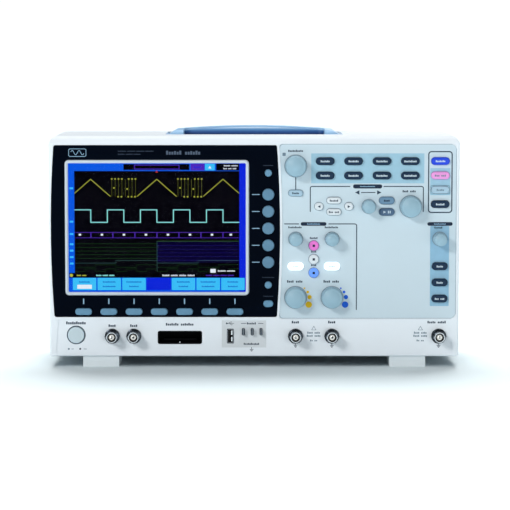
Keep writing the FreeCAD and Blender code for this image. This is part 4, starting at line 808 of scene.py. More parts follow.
def print_trigger_strip():
    low, high = box("trigger_force_key")[0].z - 2.4, LEVEL[1] + 12.2
    strip = pill(RUN_X - 0.2, (low + high) / 2, 17.6, high - low, 1)
    holes = [key_hole(f"trigger_{name}_key") for name in ("menu", "half", "force")]
    print_field("trigger_field", strip, [*holes, disc(*LEVEL, 3.4)], INK_COLUMN)


HEAD_Z = LEVEL[1] + 14  # the line of titles over the trigger and vertical groups
TIME_HEAD_Z = TIME[1] + 18.6  # the title over the horizontal group


def print_group_titles():
    vertical_x, time_x = POSITION_1[0] + 16.6, SHIFT[0] - 1.2
    pills = [
        pill(RUN_X, HEAD_Z, 23.4, 3.4),
        pill(vertical_x, HEAD_Z, 23.8, 3.4),
        pill(time_x, TIME_HEAD_Z, 27, 3.8),
    ]
    print_on(PANEL_FACE, "group_pills", pills, INK_NAVY, lift=2)
    marks = labels((RUN_X, HEAD_Z, 11, 1.1), (vertical_x, HEAD_Z, 12, 1.1), (time_x, TIME_HEAD_Z, 14, 1.1))
    print_on(PANEL_FACE, "group_pill_marks", marks, INK_TICK, lift=3)


def print_group_lines():
    """The dark lines that run from the titles round each group, and the arrows of the shift knob."""
    left, right, back = 52, 156.6, 95
    fall = TIME[1] - 5
    paths = [
        rounded_path([(left, fall), (left, TIME_HEAD_Z), (SHIFT[0] - 17.2, TIME_HEAD_Z)], 2),
        rounded_path([(SHIFT[0] + 13.6, TIME_HEAD_Z), (right, TIME_HEAD_Z), (right, fall)], 2),
        [(POSITION_1[0] - 10.6, HEAD_Z), (POSITION_1[0] + 3, HEAD_Z)],
        rounded_path([(POSITION_1[0] + 30.4, HEAD_Z), (back, HEAD_Z), (back, SCALE_1[1] - 11.8)], 2),
        [(VARIABLE[0], VARIABLE[1] - 9), (VARIABLE[0], centre("select_key")[1] + 3)],
    ]
    print_lines(PANEL_FACE, "group_lines", paths, 0.9, INK_DARK)
    arrow_z = TIME[1] + 13
    arrows = [triangle(SHIFT[0] + x, arrow_z, 4, way) for x, way in ((-10.8, -1), (9.6, 1))]
    arrows.append(pill(SHIFT[0] - 0.6, arrow_z, 13.4, 0.8))
    print_on(PANEL_FACE, "shift_arrows", arrows, INK_DARK)


def print_seam():
    low, high = box("control_panel")
    seam = pill(*centre("control_panel"), high.x - low.x, high.z - low.z, 3.4)
    print_lines(PANEL_FACE, "panel_seam", [seam], 0.5, INK_SEAM_AND_SHADE, closed=True)


def print_captions():
    """Bars for the labels over the knobs and beside the round keys."""
    bars = labels(
        (VARIABLE[0], VARIABLE[1] + 14, 14, 1.9),
        (TIME[0] - 1.4, TIME[1] + 14.2, 12.4, 2.1, 2),
        (LEVEL[0] - 1.4, LEVEL[1] + 10.6, 7.6, 1.8),
    )
    for x, z in (POSITION_1, POSITION_2):
        bars += caption_bars(x - 0.6, z + 10.9, 12.6, 1.8)
    for x, z in (SCALE_1, SCALE_2):
        bars += caption_bars(x - 0.6, z + 14.9, 14.6, 2.3, 2)
    for node, width in (("math_key", 7.4), ("reference_key", 5), ("bus_key", 5)):
        x, z = centre(node)
        bars += caption_bars(x, z + 7, width, 1.8)
    print_on(PANEL_FACE, "panel_captions", bars, INK_DARK)
    x, z = VARIABLE[0] - 10.8, VARIABLE[1] + 10.8
    print_on(PANEL_FACE, "small_box_mark", [pill(x, z, 3, 3, 0.6, 3)], INK_GREY)


def print_dots():
    """The dots that grow round the right side of the two scale knobs."""
    for (x, z), material, name in ((SCALE_1, INK_YELLOW, "yellow"), (SCALE_2, INK_BLUE, "blue")):
        dots = []
        for angle, radius in ((46, 0.8), (24, 1.3), (1, 2), (-29, 3)):
            reach = 11 + radius
            turn = math.radians(angle)
            dots.append(disc(x + reach * math.cos(turn), z + reach * math.sin(turn), radius))
        print_on(PANEL_FACE, f"{name}_dots", dots, material)


def print_outlines():
    """Fine lines round the pale keys, and darker rings round the knobs, painted shade at their feet."""
    pale = ["search_key", "set_clear_key", "arrow_left_key", "arrow_right_key", "reference_key"]
    pale += ["select_key", "zoom_key", "play_pause_key", "math_key", "bus_key"]
    outlines = [key_hole(node) for node in pale]
    print_lines(PANEL_FACE, "key_outlines", outlines, 0.45, INK_GREY, closed=True)
    rings = []
    for node in KNOB_FLUTES:
        low, high = box(node)
        rings.append(disc(*centre(node), (high.x - low.x) / 2 + 0.3, 64))
    # Darker rings round the knobs: painted shade where each knob meets the panel.
    print_lines(PANEL_FACE, "knob_painted_shade_rings", rings, 0.6, INK_SEAM_AND_SHADE, closed=True, lift=2)


def print_control_panel():
    print_function_field()
    print_run_column()
    print_trigger_strip()
    print_group_titles()
    print_group_lines()
    print_seam()
    print_captions()
    print_dots()
    print_outlines()


print_control_panel()


# Prints on the bezel


def print_bezel():
    face = BEZEL_FACE
    ticks = [pill(x, z + 9.6, 1.1, 5.2, 0.4, 3) for x, z in MENU_SPOTS]
    ticks += [pill(x - 11.6, z, 7.2, 0.7, 0.3, 3) for x, z in SIDE_SPOTS]
    print_on(face, "bezel_ticks", ticks, INK_TICK)
    dim = []
    for node, width in (("option_key", 9), ("menu_off_key", 11), ("print_key", 9)):
        x, z = centre(node)
        dim += caption_bars(x, z + 7, width, 0.9)
    left = box("screen_rim")[0].x + 4
    middle_z = (box("screen_rim")[1].z + box("screen_bezel")[1].z) / 2
    dim += caption_bars(left + 62, middle_z + 1.4, 33, 1.1, 4)
    dim += caption_bars(left + 56, middle_z - 1.4, 21, 1.1, 3)
    print_on(face, "bezel_captions", dim, INK_DIM)
    title = caption_bars(left + 106, middle_z, 32, 3.6, 2)
    print_on(face, "bezel_title", title, INK_FAINT)
    emblem_x = left + 8
    frame_path = pill(emblem_x, middle_z, 16, 7, 1.4)
    print_lines(face, "emblem_frame", [frame_path], 0.5, INK_TICK, closed=True)
    wave = [(emblem_x + t * 0.5, middle_z + 2 * math.sin(t * 0.5)) for t in range(-12, 13)]
    print_lines(face, "emblem_wave", [wave], 0.5, INK_TICK)


print_bezel()


# Prints on the connector strip


USB_X = middle("usb_port").x
DEMO_X = middle("demo_terminals").x
JACK_XS = [spot.x for name, spot in MOUNTS.items() if "jack" in name and spot.y < 0]
NOTE_XS = (JACK_XS[2] + 17, JACK_XS[-1] - 17)  # the notes beside the first channel and the trigger jack


def print_demo_wash():
    """The pale field round the USB socket and the demo tabs, open where the socket comes through."""
    low, high = box("usb_port")
    left, right = USB_X - 8, DEMO_X + 13
    bottom, top = JACK_Z - 10.8, JACK_Z + 14.6
    wash = [
        rect(left, bottom, right, low.z),
        rect(left, high.z, right, top),
        rect(left, low.z, low.x, high.z),
        rect(high.x, low.z, right, high.z),
    ]
    print_on(STRIP_FACE, "demo_wash", wash, INK_WASH)


def print_strip_captions():
    power_x, power_z = centre("power_button")
    port_x, port_z = centre("logic_port")
    bars = labels((power_x, power_z + 11.3, 18.6, 2.7), (port_x, port_z + 12.4, 26, 2.4, 2))
    for x in JACK_XS[:-1]:
        bars += caption_bars(x, JACK_Z + (13 if x > 0 else 9.7), 7, 2.3)
    bars += labels((JACK_XS[-1] - 1.8, JACK_Z + 13, 17.3, 2.3, 2), (DEMO_X - 0.6, JACK_Z + 11.8, 8.6, 1.9))
    bars += [pill(DEMO_X + side * 8, JACK_Z + 11.8, 5, 0.5, 0.2, 3) for side in (-1, 1)]
    bars += caption_bars(DEMO_X - 0.6, JACK_Z - 7.4, 14.6, 1.9)
    print_on(STRIP_FACE, "strip_captions", bars, INK_DARK, lift=2)


def print_notes():
    rows = ((3.1, 12, 1.9), (0.2, 13, 1.9), (-4.2, 7, 1.6))
    grey = labels(*((x, JACK_Z + up, width, tall, 2) for x in NOTE_XS for up, width, tall in rows))
    print_on(STRIP_FACE, "strip_notes", grey, INK_GREY)
    signs = [triangle(x, JACK_Z + 7.4, 4, 0) for x in NOTE_XS]
    print_lines(STRIP_FACE, "warning_triangles", signs, 0.4, INK_GREY, closed=True)


def print_earths():
    """The earth symbols under the jacks and the demo tabs."""
    earths = []
    for x in [*JACK_XS[2:], DEMO_X - 0.6]:
        low = JACK_Z - (9 if x in JACK_XS else 12.6)
        earths.append(pill(x, low + 1.2, 0.5, 2, 0.2, 2))
        earths += [pill(x, low - i * 0.8, 3.4 - i, 0.45, 0.2, 2) for i in range(3)]
    print_on(STRIP_FACE, "earth_marks", earths, INK_DARK, lift=2)


def print_usb_mark():
    """The branch symbol over the USB socket."""
    z = JACK_Z + 11.8
    branches = [
        [(USB_X - 3.4, z), (USB_X + 3.4, z)],
        [(USB_X - 1.6, z), (USB_X, z + 1.3), (USB_X + 1.6, z + 1.3)],
        [(USB_X - 0.6, z), (USB_X + 0.8, z - 1.3), (USB_X + 2, z - 1.3)],
    ]
    print_lines(STRIP_FACE, "usb_mark", branches, 0.4, INK_DARK, lift=2)
    print_on(STRIP_FACE, "usb_mark_root", [disc(USB_X - 3.4, z, 0.8, 16)], INK_DARK, lift=2)


def print_lamps():
    """The two lamps under the power button, with their marks."""
    x, z = centre("power_button")
    z -= 13.1
    for number, (aside, material) in enumerate(((-7, INK_GREY), (3.6, INK_NAVY)), 1):
        print_on(STRIP_FACE, f"lamp_{number}", [disc(x + aside, z, 0.9, 16)], material)
    print_on(STRIP_FACE, "lamp_marks", labels((x - 3.4, z, 2, 0.7), (x + 8.4, z, 3, 0.8)), INK_GREY)


def print_strip():
    print_demo_wash()
    print_strip_captions()
    print_notes()
    print_earths()
    print_usb_mark()
    print_lamps()


print_strip()


# Power button ring, port and jack details


def detail_power_button():
    """A dark ring round the button, and a fine light line on it: a painted highlight."""
    x, z = centre("power_button")
    profile = [(8, 0.6), (8, -0.1), (8.2, -0.3), (8.5, -0.3), (8.7, -0.1), (8.7, 0.6)]
    bm = bmesh.new()
    hollow(bm, profile, Vector((x, STRIP_FACE, z)))
    finish("power_ring", bm, INK_RING)
    front = box("power_button")[0].y
    bm = bmesh.new()
    # A light line near the edge of the button's face: a painted highlight.
    line(bm, disc(x, z, 6.9, 48), 0.25, front + SUNK, front - PRINT, closed=True)
    finish("power_rim_painted_highlight", bm, INK_LIGHT, "power_button")


JACK_LIP = [(4, -2.5), (4, -0.1), (4.2, 0.05), (4.65, 0.05), (4.86, -0.15), (4.86, -2.5)]


def detail_jacks():
    """The parts of each bayonet jack, front and rear: dark nut, bright rim, throat, insulator, contact. The
    nut's dark colour is a painted dark reflection, and the black discs in the throat and the pin hole are
    painted shade.
    """
    rings, contacts, throat_painted_shade, nuts, holes, rims = (bmesh.new() for part in range(6))
    for mount in frame["record"]["mounts"]:
        if "jack" not in mount["name"]:
            continue
        spot = MOUNTS[mount["name"]]
        way = mount["axis"][1]
        turned(rings, [(2.5, -8), (2.5, -1.5), (2.2, -1.2)], spot, way, 32)
        turned(contacts, [(1.2, -3), (1.2, -0.8), (0.9, -0.6)], spot, way, 24)
        turned(throat_painted_shade, [(4, -6.5), (4, -4.5)], spot, way, 32)
        turned(nuts, [(6.95, -13.3), (6.95, -12), (6.7, -11.7)], spot, way)
        turned(nuts, [(7.15, -11.9), (7.15, -9.85), (6.6, -9.55)], spot, way, 6)
        turned(holes, [(0.75, -1), (0.75, -0.55)], spot, way, 16)
        hollow(rims, JACK_LIP, spot, way)
    finish("jack_insulators", rings, WHITE_INSULATOR)
    finish("jack_contacts", contacts, BRIGHT)
    # Black discs deep in the pin holes and the throats: painted shade.
    finish("jack_pin_hole_painted_shade", holes, BLACK)
    finish("jack_throat_painted_shade", throat_painted_shade, BLACK)
    finish("jack_nuts", nuts, CHROME_PAINTED_DARK)
    finish("jack_rims", rims, BRIGHT)


def detail_usb():
    """Painted shade in the USB socket: black on its left, top and bottom sides and at its back, with its
    right wall left bright, and a dark ring round its mouth as a painted shadow; its tongue and its springs.
    """
    low, high = box("usb_port")
    x, z = (low.x + high.x) / 2, (low.z + high.z) / 2
    half_w, half_h = (high.x - low.x) / 2 - 0.35, (high.z - low.z) / 2 - 0.35
    skin = 0.15
    # The black left, top and bottom sides: painted shade.
    painted_shade_walls = [
        rect(x - half_w, z - half_h, x - half_w + skin, z + half_h),
        rect(x - half_w, z - half_h, x + half_w, z - half_h + skin),
        rect(x - half_w, z + half_h - skin, x + half_w, z + half_h),
    ]
    slabs("usb_painted_shade", painted_shade_walls, low.y + 8.8, low.y + 0.1, DEEP_BLACK)
    # A black sheet at the back: painted shade.
    floor = rect(x - half_w, z - half_h, x + half_w, z + half_h)
    slabs("usb_back_painted_shade", [floor], low.y + 9, low.y + 7, DEEP_BLACK)
    tongue = rect(x - 2.25, z - 5.55, x - 0.35, z + 5.55)
    slabs("usb_tongue_cover", [tongue], low.y + 8, low.y + 0.9, BLACK)
    spring = [rect(x + 0.7, z + side - 2, x + 1.9, z + side + 2) for side in (-3, 3)]
    slabs("usb_springs", spring, low.y + 7.9, low.y + 1, BRIGHT)
    # A dark ring round the mouth: painted shadow.
    mouth = pill(x, z, 2 * half_w + 0.9, 2 * half_h + 0.9, 0.5)
    print_lines(low.y, "usb_mouth_painted_shadow", [mouth], 0.5, INK_NAVY, closed=True)


def detail_demo_tabs():
    """A dark slot round each demo tab: painted shade where the tab comes through."""
    low, high = box("demo_terminals")
    z = middle("demo_terminals").z
    slots = [pill(x, z, 2.8, 7, 1.2) for x in spread(low.x + 4, high.x - 4, 3)]
    print_on(STRIP_FACE, "demo_slot_painted_shade", slots, INK_NAVY, lift=2)


def detail_sockets():
    detail_usb()
    detail_demo_tabs()
    front = box("logic_port")[0].y
    x, z = centre("logic_port")
    slabs("port_key_mark", [triangle(x, z - 4.3, 1.8, 0)], front + 0.4, front + 0.1, INK_WASH)


detail_power_button()
detail_jacks()
detail_sockets()


# The back: sockets, thumbscrews and labels

JACK_REACH = 13.2  # from the pan to the mouth of a rear jack
PAN_FACE = MOUNTS["rear_jack_1"].y - JACK_REACH
PAN_Z = MOUNTS["rear_jack_1"].z
GROUND_X = box("rear_sockets")[1].x - 4


def print_back(face, name, outlines, material):
    slabs(name, outlines, face - SUNK, face + PRINT, material)


def detail_rear_sockets():
    x = MOUNTS["rear_serial_port"].x
    insert = [rect(x - 7.8, PAN_Z - 3.5, x + 7.8, PAN_Z + 3.5)]
    slabs("serial_insert", insert, PAN_FACE + 0.6, PAN_FACE + 3.2, BLACK)
    x = MOUNTS["rear_usb_port"].x
    # A black sheet at the back of the socket: painted shade.
    painted_shade = [rect(x - 4.1, PAN_Z - 3.7, x + 4.1, PAN_Z + 3.7)]
    slabs("device_painted_shade", painted_shade, PAN_FACE - 7.9, PAN_FACE - 7, DEEP_BLACK)
    tongue = [rect(x - 2.9, PAN_Z - 1.5, x + 2.9, PAN_Z + 1.5)]
    slabs("device_tongue_cover", tongue, PAN_FACE - 7, PAN_FACE + 0.6, BLACK)
    bm = bmesh.new()
    ground = Vector((GROUND_X, PAN_FACE, PAN_Z))
    turned(bm, [(4.6, 0.05), (4.6, 3.6), (4.2, 4.1)], ground, 1, 6)
    turned(bm, [(5.6, 0.02), (5.6, 0.5), (5.4, 0.7)], ground, 1)
    finish("ground_nut_and_washer", bm, BRASS)
    x = MOUNTS["mains_inlet_socket"].x
    edge = pill(x, PAN_Z, 31, 23, 1.4)
    face = MOUNTS["mains_inlet_socket"].y
    lines("inlet_edge", [edge], 0.5, face - SUNK, face + 0.15, BLACK, closed=True)


def make_thumbscrews():
    """Knurled heads over the four screws of the slot covers."""
    low, high = box("option_slot_covers")
    bm = bmesh.new()
    seat = high.y - 3.4
    for x in (low.x + 5, high.x - 5):
        for z in (low.z + 14, high.z - 14):
            profile = [(3.5, 0), (3.5, 2.6), (3.1, 3.2), (1.9, 3.3), (1.6, 3.0)]
            knurled(bm, profile, x, seat, z, 1, 18, 0.25, 3)
    finish("thumbscrew_heads", bm, BRIGHT, sharp=40)


def print_rear_labels():
    bars = []
    widths = {"rear_jack_1": 12, "rear_jack_2": 12, "rear_serial_port": 16, "rear_usb_port": 10}
    for name, width in widths.items():
        bars += caption_bars(MOUNTS[name].x, PAN_Z + 13, width, 2.2)
    inlet_x = MOUNTS["mains_inlet_socket"].x
    bars += caption_bars(inlet_x, PAN_Z + 19, 24, 2.2, 2)
    bars += caption_bars(inlet_x, PAN_Z - 18, 28, 1.8, 3)
    bars += [pill(GROUND_X, PAN_Z + 13.4, 0.6, 2.6, 0.2, 2)]
    bars += [pill(GROUND_X, PAN_Z + 12 - i, 4.6 - 1.3 * i, 0.6, 0.2, 2) for i in range(3)]
    between = (MOUNTS["rear_jack_1"].x + MOUNTS["rear_jack_2"].x) / 2
    bars += caption_bars(between, PAN_Z - 13, 34, 1.8, 4)
    print_back(PAN_FACE, "pan_captions", bars, INK_DARK)
    low, high = box("option_slot_covers")
    marks = []
    for z in (low.z + 14, high.z - 14):
        marks += caption_bars((low.x + high.x) / 2, z, 22, 2.4, 2)
    print_back(high.y - 3.4, "slot_captions", marks, INK_GREY)


def make_rating_plate():
    """A blank rating plate on the back: a foil label with rows of plain blocks."""
    face = box("rear_cover")[1].y
    x, z = 8, 122
    wide, tall = 66, 38
    top = face + 0.25
    slabs("rating_plate", [pill(x, z, wide, tall, 2)], face - 0.05, top, PLATE)
    border = [pill(x, z, wide - 3, tall - 3, 1.4)]
    lines("rating_border", border, 0.3, top - SUNK, top + 0.04, INK_GREY, closed=True)
    rows = []
    for index, (width, words) in enumerate(((34, 2), (54, 5), (46, 4), (54, 6), (38, 3))):
        left = x + (wide / 2 - 4) - width / 2
        rows += caption_bars(left, z + 12.5 - 6 * index, width, 2, words)
    print_back(top, "rating_rows", rows, INK_DARK)


detail_rear_sockets()
make_thumbscrews()
print_rear_labels()
make_rating_plate()


# The picture on the screen


def inner_screen():
    low, high = box("screen_rim")
    rim = 3
    return low.x + rim, low.z + rim, high.x - rim, high.z - rim


SCREEN_LEFT, SCREEN_BOTTOM, SCREEN_RIGHT, SCREEN_TOP = inner_screen()
SCREEN_FACE = box("display_module")[0].y
GLOWS = {
    "blue": ((10, 92, 240), 0.95),
    "deep_blue": ((12, 40, 235), 0.9),
    "black": ((3, 2, 9), 0.5),
    "yellow": ((188, 196, 62), 0.95),
    "dim_yellow": ((110, 116, 34), 0.8),
    "cyan": ((140, 230, 226), 1.15),
    "violet": ((84, 44, 200), 0.9),
    "dim_green": ((24, 66, 20), 0.8),
    "green": ((58, 108, 40), 0.8),
    "navy": ((26, 20, 112), 0.9),
    "night": ((4, 1, 44), 0.9),
    "teal": ((52, 92, 92), 0.8),
    "key_cyan": ((60, 196, 255), 1.0),
    "key_text": ((20, 104, 220), 0.9),
    "white": ((236, 244, 255), 1.0),
    "red": ((220, 60, 50), 0.9),
}
LIGHT = {name: lit_pixels("pixels_" + name, srgb(*color), glow) for name, (color, glow) in GLOWS.items()}
PERIOD = 61.3
PLOT_LEFT = SCREEN_LEFT + 5.6
PLOT_RIGHT = SCREEN_RIGHT - 6
PLOT_TOP = SCREEN_TOP - 7.4
PLOT_BOTTOM = SCREEN_BOTTOM + 17.6
PLOT_MIDDLE = (PLOT_LEFT + PLOT_RIGHT) / 2


def screen_y(layer):
    """Where a layer of the picture starts and ends, in front of the display."""
    step = 0.05
    return SCREEN_FACE - step * (layer - 0.4), SCREEN_FACE - step * layer


def lit(name, outlines, color, layer):
    back, front = screen_y(layer)
    slabs("picture_" + name, outlines, back, front, LIGHT[color])


def lit_lines(name, paths, width, color, layer):
    back, front = screen_y(layer)
    lines("picture_" + name, paths, width, back, front, LIGHT[color])


def draw_background():
    edge = 0.4
    whole = rect(SCREEN_LEFT - edge, SCREEN_BOTTOM - edge, SCREEN_RIGHT + edge, SCREEN_TOP + edge)
    lit("ground", [whole], "blue", 1)
    lit("right_bar", [rect(PLOT_RIGHT, SCREEN_BOTTOM, SCREEN_RIGHT, SCREEN_TOP)], "deep_blue", 2)
    lit("plot", [rect(PLOT_LEFT, PLOT_BOTTOM, PLOT_RIGHT, PLOT_TOP)], "black", 2)


def draw_top_bar():
    z = SCREEN_TOP - 3.7
    bar = rect(PLOT_MIDDLE - 30.8, z - 2.7, PLOT_MIDDLE + 30.2, z + 2.7)
    lit("memory", [bar], "black", 2)
    bracket = rect(PLOT_MIDDLE - 20.7, z - 1.8, PLOT_MIDDLE + 20.7, z + 1.8)
    lit_lines("memory_bracket", [bracket + bracket[:1]], 0.6, "violet", 3)
    lit("badge_1", [pill(PLOT_MIDDLE + 37.8, z, 12.8, 6, 0.5)], "violet", 2)
    lit("badge_2", [pill(PLOT_MIDDLE + 49.2, z, 9, 6, 0.5)], "key_cyan", 2)
    lit("badge_2_mark", [triangle(PLOT_MIDDLE + 49.2, z, 3, 0)], "white", 3)
    lit("badge_1_mark", caption_bars(PLOT_MIDDLE + 37.8, z, 6.4, 1.4), "deep_blue", 3)
    clock = PLOT_RIGHT - 10.8
    lit("clock", [pill(clock, z, 21.4, 6.4, 0.4)], "black", 2)
    marks = caption_bars(clock + 3, z + 1.3, 13, 1.2, 2)
    marks += caption_bars(clock + 2, z - 1.4, 12, 1.2, 3)
    lit("clock_marks", marks, "white", 3)
    lit("trigger_mark", [triangle(PLOT_MIDDLE, PLOT_TOP - 0.4, 2.4, 0)], "red", 4)


def draw_ramps():
    """The yellow trace: ramps up and down, with a burst between them."""
    low, high = PLOT_TOP - 23.6, PLOT_TOP - 7.6
    ramp, burst = PERIOD * 0.3, PERIOD * 0.4
    slope = (high - low) / ramp
    peaks = [PLOT_MIDDLE + PERIOD * k for k in (-1, 0, 1)]
    start, end = PLOT_LEFT + 0.2, PLOT_RIGHT - 0.2
    paths = []
    for peak in peaks:
        edges = max(peak - ramp, start), min(peak + ramp, end)
        foot, other = ((x, high - abs(peak - x) * slope) for x in edges)
        paths.append([foot, (peak, high), other])
    lit_lines("ramps", paths, 0.55, "yellow", 3)
    dots, bars = [], []
    for first in (peaks[0] + ramp, peaks[1] + ramp):
        for index in range(8):
            x = first + burst * (0.05 + index * 0.128)
            bars.append(rect(x - 0.15, low, x + 0.15, high))
            if index != 4:
                dots.append(disc(x, high + 0.3, 0.72, 12))
            if index > 1 and index != 4:
                dots.append(disc(x - 0.5, low - 0.2, 0.72, 12))
        dots.append(disc(first + burst * 0.13, (low + high) / 2, 0.72, 12))
        dots.append(disc(first + burst * 0.63, (low + high) / 2 - 1, 0.72, 12))
    lit("burst_bars", bars, "dim_yellow", 3)
    lit("burst_dots", dots, "yellow", 4)


def draw_square_wave():
    low, high = PLOT_TOP - 47.6, PLOT_TOP - 36
    half = PERIOD / 4
    points, level = [(PLOT_LEFT, high)], high
    x = PLOT_MIDDLE - 4 * half
    while x < PLOT_RIGHT:
        other = low if level == high else high
        points += [(x, level), (x, other)]
        level = other
        x += half
    points.append((PLOT_RIGHT, level))
    lit_lines("square_wave", [points], 0.8, "cyan", 3)


def draw_bus():
    """The decoded bus: cells with a blank value box in each."""
    top, bottom = PLOT_TOP - 57, PLOT_TOP - 62
    cell = PERIOD / 3
    edges = [PLOT_MIDDLE + cell * k for k in range(-3, 4)]
    lit_lines("bus_rails", [[(PLOT_LEFT, z), (PLOT_RIGHT, z)] for z in (top, bottom)], 0.4, "violet", 3)
    lit("bus_edges", [rect(x - 0.4, bottom, x + 0.4, top) for x in edges], "violet", 4)
    values = [x + cell / 2 for x in edges] + [edges[0] - cell / 2]
    z = (top + bottom) / 2 + 0.4
    lit("bus_values", [pill(min(x, PLOT_RIGHT - 8), z, 2.2, 1.8, 0.3, 3) for x in values], "white", 4)


def draw_digital_lines():
    """The logic lines: three that count in binary along the bottom, and plain rows over them."""
    row = 3.4
    base = PLOT_BOTTOM + 1.4
    slots = 16
    slot = (PLOT_RIGHT - PLOT_LEFT) / slots
    high, low = [], []
    for bit in range(3):
        z = base + bit * row * 1.15
        level, path = 0, [(PLOT_LEFT, z)]
        for index in range(slots):
            now = index // 2**bit % 2
            x = PLOT_LEFT + index * slot
            if now != level:
                path += [(x, z + level * row * 0.7), (x, z + now * row * 0.7)]
                level = now
        path.append((PLOT_RIGHT, z + level * row * 0.7))
        (high if bit == 2 else low).append(path)
    lit_lines("counter_low", low, 0.3, "dim_green", 3)
    lit_lines("counter_high", high, 0.35, "teal", 3)
    left = [base + (3.6 + i) * row for i in range(5)]
    lit_lines("left_rows", [[(PLOT_LEFT, z), (PLOT_MIDDLE, z)] for z in left], 0.4, "dim_green", 3)
    right = [base + (3.1 + i) * row for i in range(5)]
    lit_lines("right_rows", [[(PLOT_MIDDLE, z), (PLOT_RIGHT, z)] for z in right], 0.35, "navy", 3)
    top = left[-1] + row * 0.7
    lit("night", [rect(PLOT_MIDDLE, base + 2.4 * row, PLOT_RIGHT, top)], "night", 2.5)
    step = [(PLOT_MIDDLE, base), (PLOT_MIDDLE, top), (PLOT_RIGHT, top)]
    lit_lines("top_row", [step[1:]], 0.4, "green", 3)
    lit_lines("trigger_line", [step[:2]], 0.4, "teal", 4)


def draw_status():
    z = PLOT_BOTTOM - 2.2
    lit("status", [rect(SCREEN_LEFT + 0.6, z - 2.2, PLOT_RIGHT, z + 2.2)], "black", 2)
    first = [disc(SCREEN_LEFT + 2.4, z, 1.5, 20), *caption_bars(SCREEN_LEFT + 12, z, 9, 1.3, 2)]
    lit("status_yellow", first, "yellow", 3)
    lit("status_cyan", caption_bars(SCREEN_LEFT + 34, z, 17, 1.4, 3), "cyan", 3)
    lit("status_white", caption_bars(PLOT_MIDDLE + 20, z, 30, 1.6, 4), "white", 3)
    lit("status_violet", caption_bars(PLOT_RIGHT - 18, z, 26, 1.2, 4), "violet", 3)
    badge_z = PLOT_BOTTOM + 2
    lit("timer_badge", [pill(PLOT_RIGHT - 24.5, badge_z, 5, 3.6, 0.4)], "white", 5)
    lit("timer_marks", caption_bars(PLOT_RIGHT - 12, badge_z, 16, 1.4, 2), "white", 5)


def draw_soft_keys():
    """Seven boxes over the menu keys, the fourth one empty."""
    layer = 2.4  # over the bar at the right edge, under the texts
    height = 11.4
    z = SCREEN_BOTTOM + 1.6 + height / 2
    pitch = 23
    first = SCREEN_LEFT + 14.6
    for index in range(7):
        x = first + index * pitch
        if index == 3:
            continue
        lit(f"soft_key_{index}", [pill(x, z, 21.8, height, 0.6)], "key_cyan", layer)
        upper = caption_bars(x, z + 2, 10 + index % 3 * 2, 1.4)
        under = caption_bars(x, z - 2.2, 9 + index % 2 * 3, 1.4)
        lit(f"soft_key_text_{index}", upper + (under if index else []), "key_text", 3)
    lit("soft_key_gap", [pill(first + 3 * pitch, z, 22.6, height, 0.3)], "deep_blue", 2)
    lit("soft_key_value", [pill(first, z - 2.6, 13.6, 3.8, 0.4)], "white", 3)


def draw_left_marks():
    x = SCREEN_LEFT + 2.8
    tops = [PLOT_TOP - d for d in (16, 47, 58.5, 68, 74, 80, 86)]
    lit("left_marks", [pill(x, z, 3.4, 1.8, 0.3, 3) for z in tops], "key_cyan", 2)


def make_screen():
    draw_background()
    draw_top_bar()
    draw_ramps()
    draw_square_wave()
    draw_bus()
    draw_digital_lines()
    draw_status()
    draw_soft_keys()
    draw_left_marks()
    low, high = box("screen_pane")
    bm = bmesh.new()
    width, height = high.x - low.x, high.z - low.z
    outline = pill((low.x + high.x) / 2, (low.z + high.z) / 2, width, height, 3)
    slab(bm, outline, low.y + 0.75, low.y)
    pane = finish("screen_window", bm, clear_pane("clear_acrylic"))
    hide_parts("screen_pane")


make_screen()


# Handle


GRIP_REACH = 67  # from the middle of the grip to where its soft bar ends


def grip_path(steps=32):
    """Points (x, y) along the front of the grip and round into the corners with the arms."""
    face = box("carry_handle")[1].y - 23
    corner = 6.6
    half = GRIP_REACH - corner - 0.4
    path = []
    for step in range(7):
        angle = math.pi / 2 * (1 - step / 6)
        path.append((-half - corner * math.sin(angle), face - corner * (1 - math.cos(angle))))
    path += [(-half + 2 * half * i / steps, face) for i in range(1, steps)]
    return path + [(-x, y) for x, y in path[6::-1]]


def make_grip_insert():
    """The blue soft bar along the front of the grip: full in the middle, thin where it meets the arms."""
    low, high = box("carry_handle")
    bm = bmesh.new()
    rings = []
    for x, y in grip_path():
        t = x / GRIP_REACH
        under = low.z + 9 - 2 * t * t
        top = high.z - 1.1 - 3.4 * t * t
        full = 2.7 * (1 - abs(t) ** 6) + 0.1
        tall = top - under
        ring = [(x, y + 0.4, under), (x, y + 0.4, top)]
        for step in range(9):
            angle = math.pi * step / 8
            out = full * math.sin(angle)
            ring.append((x, y - out, under + tall * (1 + math.cos(angle)) / 2))
        rings.append(ring)
    loft(bm, rings)
    # Its colour is painted darker towards the bottom as shade and lighter towards the top as a highlight.
    insert = finish("grip_insert", bm, GRIP, "carry_handle", sharp=60)


make_grip_insert()


# Stage


def light(name, kind, power, direction, receivers):
    """A lamp that points along direction, and lights only the receivers."""
    data = bpy.data.lights.new(name, kind)
    data.energy = power
    lamp = bpy.data.objects.new(name, data)
    bpy.context.scene.collection.objects.link(lamp)
    lamp.rotation_euler = Vector(direction).to_track_quat("-Z", "Y").to_euler()
    lamp.light_linking.receiver_collection = receivers
    return lamp


def soft_light(name, off_floor, place, size, power, color=(1, 1, 1)):
    """A soft box that faces the middle of the case, kept off the floor."""
    aim = Vector((0, 0, 0.1)) - Vector(place)
    lamp = light(name, "AREA", power, aim, off_floor)
    lamp.location = place
    lamp.data.shape = "RECTANGLE"
    lamp.data.size, lamp.data.size_y = size
    lamp.data.color = color


def sky_light(name, studio, direction, power, spread_angle):
    """A far, even light that falls on the floor alone, so that it stays white to its edge."""
    lamp = light(name, "SUN", power, direction, studio)
    lamp.data.angle = math.radians(spread_angle)


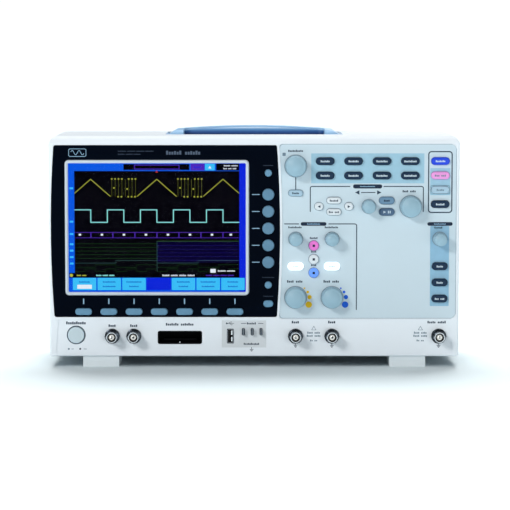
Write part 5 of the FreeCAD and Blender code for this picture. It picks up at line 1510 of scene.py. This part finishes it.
def make_floor():
    """A pale floor with two wide lights of its own, one from a little behind and one from the front."""
    bm = bmesh.new()
    half = 14
    bm.faces.new([bm.verts.new((x, y, 0)) for x, y in rect(-half, -half, half, half)])
    mesh = bpy.data.meshes.new("floor")
    bm.to_mesh(mesh)
    bm.free()
    floor = bpy.data.objects.new("floor", mesh)
    studio = bpy.data.collections.new("studio")
    bpy.context.scene.collection.children.link(studio)
    studio.objects.link(floor)
    paper = plastic("floor_paper", srgb(204, 214, 217), 0.9, 2, 0.01, 0.004, specular=0.05)
    mesh.materials.append(paper)

    sky_light("floor_wash", studio, (0, -0.5, -1), 4.2, 40)
    sky_light("floor_front", studio, (0, 0.75, -1), 1.55, 50)
    return floor


def make_world():
    """Even soft light from all round; seen directly, it is a white background."""
    world = bpy.data.worlds.new("studio")
    world.use_nodes = True
    nodes, links = world.node_tree.nodes, world.node_tree.links
    seen = nodes.new("ShaderNodeLightPath").outputs["Is Camera Ray"]
    strength = nodes.new("ShaderNodeMapRange")
    links.new(seen, strength.inputs[0])
    strength.inputs[3].default_value = 0.2
    strength.inputs[4].default_value = 1.05
    ground = nodes["Background"]
    ground.inputs["Color"].default_value = (0.97, 0.99, 1.0, 1)
    links.new(strength.outputs[0], ground.inputs["Strength"])
    bpy.context.scene.world = world


def make_stage():
    make_world()
    floor = make_floor()
    off_floor = bpy.data.collections.new("off_floor")
    off_floor.objects.link(floor)
    off_floor.collection_objects[0].light_linking.link_state = "EXCLUDE"
    warm = (1, 0.975, 0.95)
    soft_light("key", off_floor, (-1.6, -2.1, 1.4), (0.8, 0.6), 39, warm)
    soft_light("fill", off_floor, (1.0, -2.3, 0.3), (1.2, 0.5), 8.5, warm)
    soft_light("overhead", off_floor, (0, 0.5, 1.6), (2.0, 1.0), 21)
    soft_light("back", off_floor, (0.8, 2.2, 0.9), (1.6, 1.0), 9)
    bpy.context.scene.view_settings.view_transform = "Standard"


def make_camera():
    data = bpy.data.cameras.new("camera")
    data.sensor_width = 36
    data.lens = 160.6
    data.clip_end = 50
    camera = bpy.data.objects.new("camera", data)
    bpy.context.scene.collection.objects.link(camera)
    camera.location = (0.0008, -2.16, 0.296)
    camera.rotation_euler = (math.radians(90 - 5.2), 0, 0)
    bpy.context.scene.camera = camera


make_stage()
make_camera()
